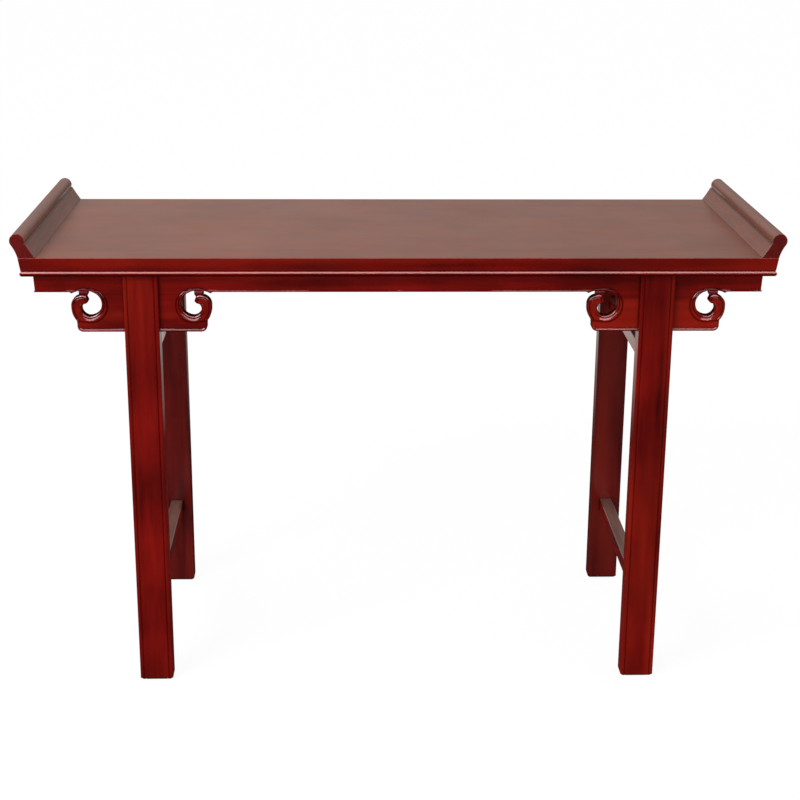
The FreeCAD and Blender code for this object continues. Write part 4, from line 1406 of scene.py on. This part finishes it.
class Panel(bpy.types.Operator):
    """Builds the three boards of the top's panel"""

    bl_idname = "altar_table.panel"
    bl_label = "Panel boards"

    def execute(self, context):
        for place in ("front", "middle", "back"):
            mesh = cad_copy(f"panel_board_{place}", 0.0)
            for vert in mesh.vertices:
                if vert.co.z > SLAB_TOP - PANEL_GROOVE_HIGH - 0.1 * MM:
                    vert.co.x = closed_gap(vert.co.x)
            piece(f"board_{place}", mesh, top_lacquer(), "top_lacquer", f"panel_board_{place}")
        return {"FINISHED"}


class Flanges(bpy.types.Operator):
    """Builds the two everted ends of the top"""

    bl_idname = "altar_table.flanges"
    bl_label = "Everted ends"

    def execute(self, context):
        lacquer = red_lacquer("y", "flange")
        source = moulding(flange_outline(), 2 * HALF_DEPTH, HALF_LENGTH, False, lacquer)
        for side, degrees in ENDS:
            mesh = eased(tidied(turned_copy(source, degrees)), 0.7 * MM, 3, 60.0)
            piece(f"everted_end_{side}", flat_shaded_weights(tidied(mesh)), lacquer,
                  "red_lacquer", f"{side}_flange")
        return {"FINISHED"}


class Battens(bpy.types.Operator):
    """Finishes the cross battens under the panel and the splines in the apron corners"""

    bl_idname = "altar_table.battens"
    bl_label = "Battens and splines"

    def execute(self, context):
        for place in ("left", "middle", "right"):
            mesh = flat_shaded_weights(cad_copy(f"batten_{place}", 0.6 * MM))
            piece(f"cross_batten_{place}", mesh, inner_wood("y"), "inner_wood", f"batten_{place}")
        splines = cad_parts["apron_corner_splines"]
        splines.data.materials.clear()
        splines.data.materials.append(inner_wood("z"))
        return {"FINISHED"}


class Legs(bpy.types.Operator):
    """Builds the four legs with their forked tops and beaded front edges"""

    bl_idname = "altar_table.legs"
    bl_label = "Legs"

    def execute(self, context):
        source = leg_mesh()
        middle = (LEG_FRONT + LEG_BACK) / 2
        # The back row gets the darker copy of the red, a painted shade
        for row, degrees, depth, kind in (("front", 0, -middle, "plain"),
                                          ("back", 180, middle, "rear")):
            for side, sign in HANDS:
                mesh = turned_copy(source, degrees)
                mesh.transform(Matrix.Translation((sign * LEG_MIDDLE, depth, 0)))
                piece(f"leg_{row}_{side}", flat_shaded_weights(mesh), red_lacquer("z", kind),
                      "red_lacquer", f"{row}_{side}_leg")
        return {"FINISHED"}


def end_apron_outline():
    """Section of an end apron, as its distance from the middle of the table and its height."""
    size = sizes()
    rises = np.concatenate([np.linspace(0, 4, 21), np.linspace(8, apron_depth() / MM, 5)])
    faces = plain_apron(rises, size.apron_lean / MM, size.apron_bead / MM) - fallen(rises)
    back = APRON_END - APRON_THICKNESS
    outline = [(APRON_END + face * MM, APRON_BOTTOM + rise * MM)
               for face, rise in zip(faces, rises)]
    return outline + [(back, SLAB_BOTTOM), (back, APRON_BOTTOM)]


class Aprons(bpy.types.Operator):
    """Builds the long aprons with their arches and the short aprons of the ends"""

    bl_idname = "altar_table.aprons"
    bl_label = "Aprons"

    def execute(self, context):
        source = long_apron_mesh()
        for side, degrees in LONG_SIDES:
            piece(f"apron_{side}", turned_copy(source, degrees), red_lacquer("x"),
                  "red_lacquer", f"{side}_apron")
        short = moulding(end_apron_outline(), 2 * APRON_FRONT, APRON_END, True, red_lacquer("y"))
        for side, degrees in ENDS:
            mesh = tidied(turned_copy(short, degrees), 50.0)
            piece(f"end_apron_{side}", mesh, red_lacquer("y"), "red_lacquer",
                  f"{side}_end_apron")
        return {"FINISHED"}


class Spandrels(bpy.types.Operator):
    """Builds the four spandrel boards with their carved scrolls"""

    bl_idname = "altar_table.spandrels"
    bl_label = "Scroll spandrels"

    def execute(self, context):
        source = spandrel_mesh()
        for row, degrees in LONG_SIDES:
            for side, sign in HANDS:
                mesh = turned_copy(source, degrees)
                mesh.transform(Matrix.Translation((sign * LEG_MIDDLE, 0.0, 0.0)))
                piece(f"spandrel_{row}_{side}", mesh, red_lacquer("x"), "red_lacquer",
                      f"{row}_{side}_spandrel")
        return {"FINISHED"}


class Stretchers(bpy.types.Operator):
    """Builds the two side stretchers at each end"""

    bl_idname = "altar_table.stretchers"
    bl_label = "Side stretchers"

    def execute(self, context):
        # The stretchers' upper faces get a paler colour, a painted reflection
        lacquer = red_lacquer("y", "painted_sheen")
        radius = 2.5 * MM
        for level in ("upper", "lower"):
            low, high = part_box(f"right_{level}_stretcher")
            outline = rounded([(low.x, low.z, radius), (high.x, low.z, radius),
                               (high.x, high.z, radius), (low.x, high.z, radius)])
            source = moulding(outline, 2 * LEG_BACK, high.x, False, lacquer)
            for side, degrees in ENDS:
                mesh = flat_shaded_weights(tidied(turned_copy(source, degrees)))
                piece(f"stretcher_{level}_{side}", mesh, lacquer, "red_lacquer",
                      f"{side}_{level}_stretcher")
        return {"FINISHED"}


class Stage(bpy.types.Operator):
    """Makes the pale floor, the lamps, the surroundings and the camera"""

    bl_idname = "altar_table.stage"
    bl_label = "Stage and camera"

    def execute(self, context):
        make_floor()
        make_surroundings()
        make_lamps()
        make_camera()
        context.scene.view_settings.view_transform = "Standard"
        return {"FINISHED"}


def mixed_shader(nodes, share, first, second):
    """A mix of two shaders by a share."""
    return made_node(nodes, "ShaderNodeMixShader", {0: share, 1: first, 2: second}).outputs[0]


def make_floor():
    """A wide pale floor that looks white and keeps a faint shadow.

    In reflections it is dim under and before the table, and pale further back.
    """
    reach = 40.0
    mesh = bpy.data.meshes.new("floor")
    mesh.from_pydata([(-reach, -reach, 0), (reach, -reach, 0), (reach, reach, 0),
                      (-reach, reach, 0)], [], [[0, 1, 2, 3]])
    floor = linked("floor", mesh)
    material = bpy.data.materials.new("pale_floor")
    material.use_nodes = True
    nodes = material.node_tree.nodes
    shader = nodes["Principled BSDF"]
    set_inputs(shader, {"Base Color": (0.95, 0.95, 0.95, 1.0), "Roughness": 0.9,
                        "Specular IOR Level": 0.0})
    rays = nodes.new("ShaderNodeLightPath").outputs

    white = made_node(nodes, "ShaderNodeEmission", {"Strength": 1.05})
    seen = mixed_shader(nodes, product(nodes, rays["Is Camera Ray"], 0.88), shader.outputs[0],
                        white.outputs[0])

    back = split(nodes, surface(nodes, "Position"))["Y"]
    far = spread(nodes, back, 6.0, 3.2)
    pale = product(nodes, spread(nodes, back, 1.1, 2.2),
                   total(nodes, product(nodes, far, 0.62), 0.15))
    dim = made_node(nodes, "ShaderNodeEmission",
                    {"Color": (1.0, 0.94, 0.88, 1.0), "Strength": total(nodes, pale, 0.02)})
    result = mixed_shader(nodes, rays["Is Glossy Ray"], seen, dim.outputs[0])
    set_inputs(nodes["Material Output"], {"Surface": result})
    material.cycles.emission_sampling = "NONE"
    floor.data.materials.append(material)


def make_surroundings():
    """A pale studio, which reflections see bright behind the table and dim before it."""
    world = bpy.data.worlds.new("studio")
    bpy.context.scene.world = world
    world.use_nodes = True
    world.cycles.sampling_method = "NONE"
    nodes = world.node_tree.nodes
    direction = split(nodes, nodes.new("ShaderNodeTexCoord").outputs["Generated"])
    behind = spread(nodes, direction["Y"], -0.1, 0.6)
    raised = spread(nodes, direction["Z"], -0.05, 0.22)
    left = spread(nodes, direction["X"], 0.4, -0.05)
    wall = product(nodes, total(nodes, product(nodes, left, 0.16), 0.47),
                   total(nodes, product(nodes, raised, 0.7), 0.3))
    reflected = total(nodes, product(nodes, behind, wall), 0.03)
    rays = nodes.new("ShaderNodeLightPath").outputs
    glossy = rays["Is Glossy Ray"]
    level = total(nodes, product(nodes, reflected, glossy),
                  product(nodes, rest(nodes, glossy), 0.62))
    set_inputs(nodes["Background"],
               {"Color": mixed(nodes, glossy, (1.0, 1.0, 1.0), (1.0, 0.96, 0.91)),
                "Strength": math_node(nodes, "MAXIMUM", level, rays["Is Camera Ray"])})


def area_lamp(name, place, aim, width, height, power, mirrored_only=False,
              colour=(1.0, 1.0, 1.0)):
    """A soft lamp at a place that looks at a point."""
    data = bpy.data.lights.new(name, "AREA")
    data.shape = "RECTANGLE"
    data.size = width
    data.size_y = height
    data.energy = power
    data.color = colour
    lamp = linked(name, data)
    lamp.location = place
    lamp.rotation_euler = (Vector(aim) - Vector(place)).to_track_quat("-Z", "Y").to_euler()
    lamp.visible_diffuse = not mirrored_only
    return lamp


def make_lamps():
    """A soft key lamp from the front left, and a panel over the front that only highlights show."""
    area_lamp("lamp_key", place=(-2.1, -2.3, 2.6), aim=(-0.1, 0.0, 0.6), width=1.6, height=1.2,
              power=60.0)
    area_lamp("lamp_panel", place=(-0.7, -2.2, 2.3), aim=(-0.2, -0.25, 0.78), width=5.8,
              height=1.5, power=262.0, mirrored_only=True, colour=(1.0, 0.64, 0.66))


def make_camera():
    """The camera at the photograph's angle."""
    setup = bpy.context.scene.altar_table_studio
    data = bpy.data.cameras.new("camera")
    data.sensor_width = 36.0
    data.lens = setup.lens
    camera = linked("camera", data)
    pitch, yaw, roll = setup.camera_pitch, setup.camera_yaw, setup.camera_roll
    forward = Vector((math.sin(yaw) * math.cos(pitch), math.cos(yaw) * math.cos(pitch),
                      -math.sin(pitch)))
    level = Vector((math.cos(yaw), -math.sin(yaw), 0.0))
    upright = level.cross(forward)
    right = math.cos(roll) * level + math.sin(roll) * upright
    up = math.cos(roll) * upright - math.sin(roll) * level
    turn = Matrix((right, up, -forward)).transposed().to_4x4()
    camera.matrix_world = Matrix.Translation(Vector(setup.camera_place)) @ turn
    bpy.context.scene.camera = camera


class Sidebar(bpy.types.Panel):
    """Lists the pieces of the table and what can be set for them"""

    bl_idname = "ALTAR_TABLE_PT_sidebar"
    bl_label = "Altar table"
    bl_space_type = "VIEW_3D"
    bl_region_type = "UI"
    bl_category = "Altar table"

    def draw(self, context):
        layout = self.layout
        scene = context.scene
        for operator in BUILDERS:
            layout.operator(operator.bl_idname)
        for group in (scene.altar_table_sizes, scene.altar_table_finish, scene.altar_table_studio):
            box = layout.box()
            for name in group.bl_rna.properties.keys():
                if name not in ("rna_type", "name"):
                    box.prop(group, name)


BUILDERS = (TopFrame, Panel, Flanges, Battens, Legs, Aprons, Spandrels, Stretchers, Stage)
GROUPS = (TableSizes, TableFinish, StudioSetup)


def register():
    """Adds the groups, operators and the panel to Blender."""
    for item in GROUPS + BUILDERS + (Sidebar,):
        bpy.utils.register_class(item)
    bpy.types.Scene.altar_table_sizes = PointerProperty(type=TableSizes)
    bpy.types.Scene.altar_table_finish = PointerProperty(type=TableFinish)
    bpy.types.Scene.altar_table_studio = PointerProperty(type=StudioSetup)


def unregister():
    """Takes them away again."""
    del bpy.types.Scene.altar_table_studio
    del bpy.types.Scene.altar_table_finish
    del bpy.types.Scene.altar_table_sizes
    for item in reversed(GROUPS + BUILDERS + (Sidebar,)):
        bpy.utils.unregister_class(item)


def main():
    """Builds every piece and the stage."""
    register()
    bpy.ops.altar_table.top_frame()
    bpy.ops.altar_table.panel()
    bpy.ops.altar_table.flanges()
    bpy.ops.altar_table.battens()
    bpy.ops.altar_table.legs()
    bpy.ops.altar_table.aprons()
    bpy.ops.altar_table.spandrels()
    bpy.ops.altar_table.stretchers()
    bpy.ops.altar_table.stage()


if __name__ == "__main__":
    main()
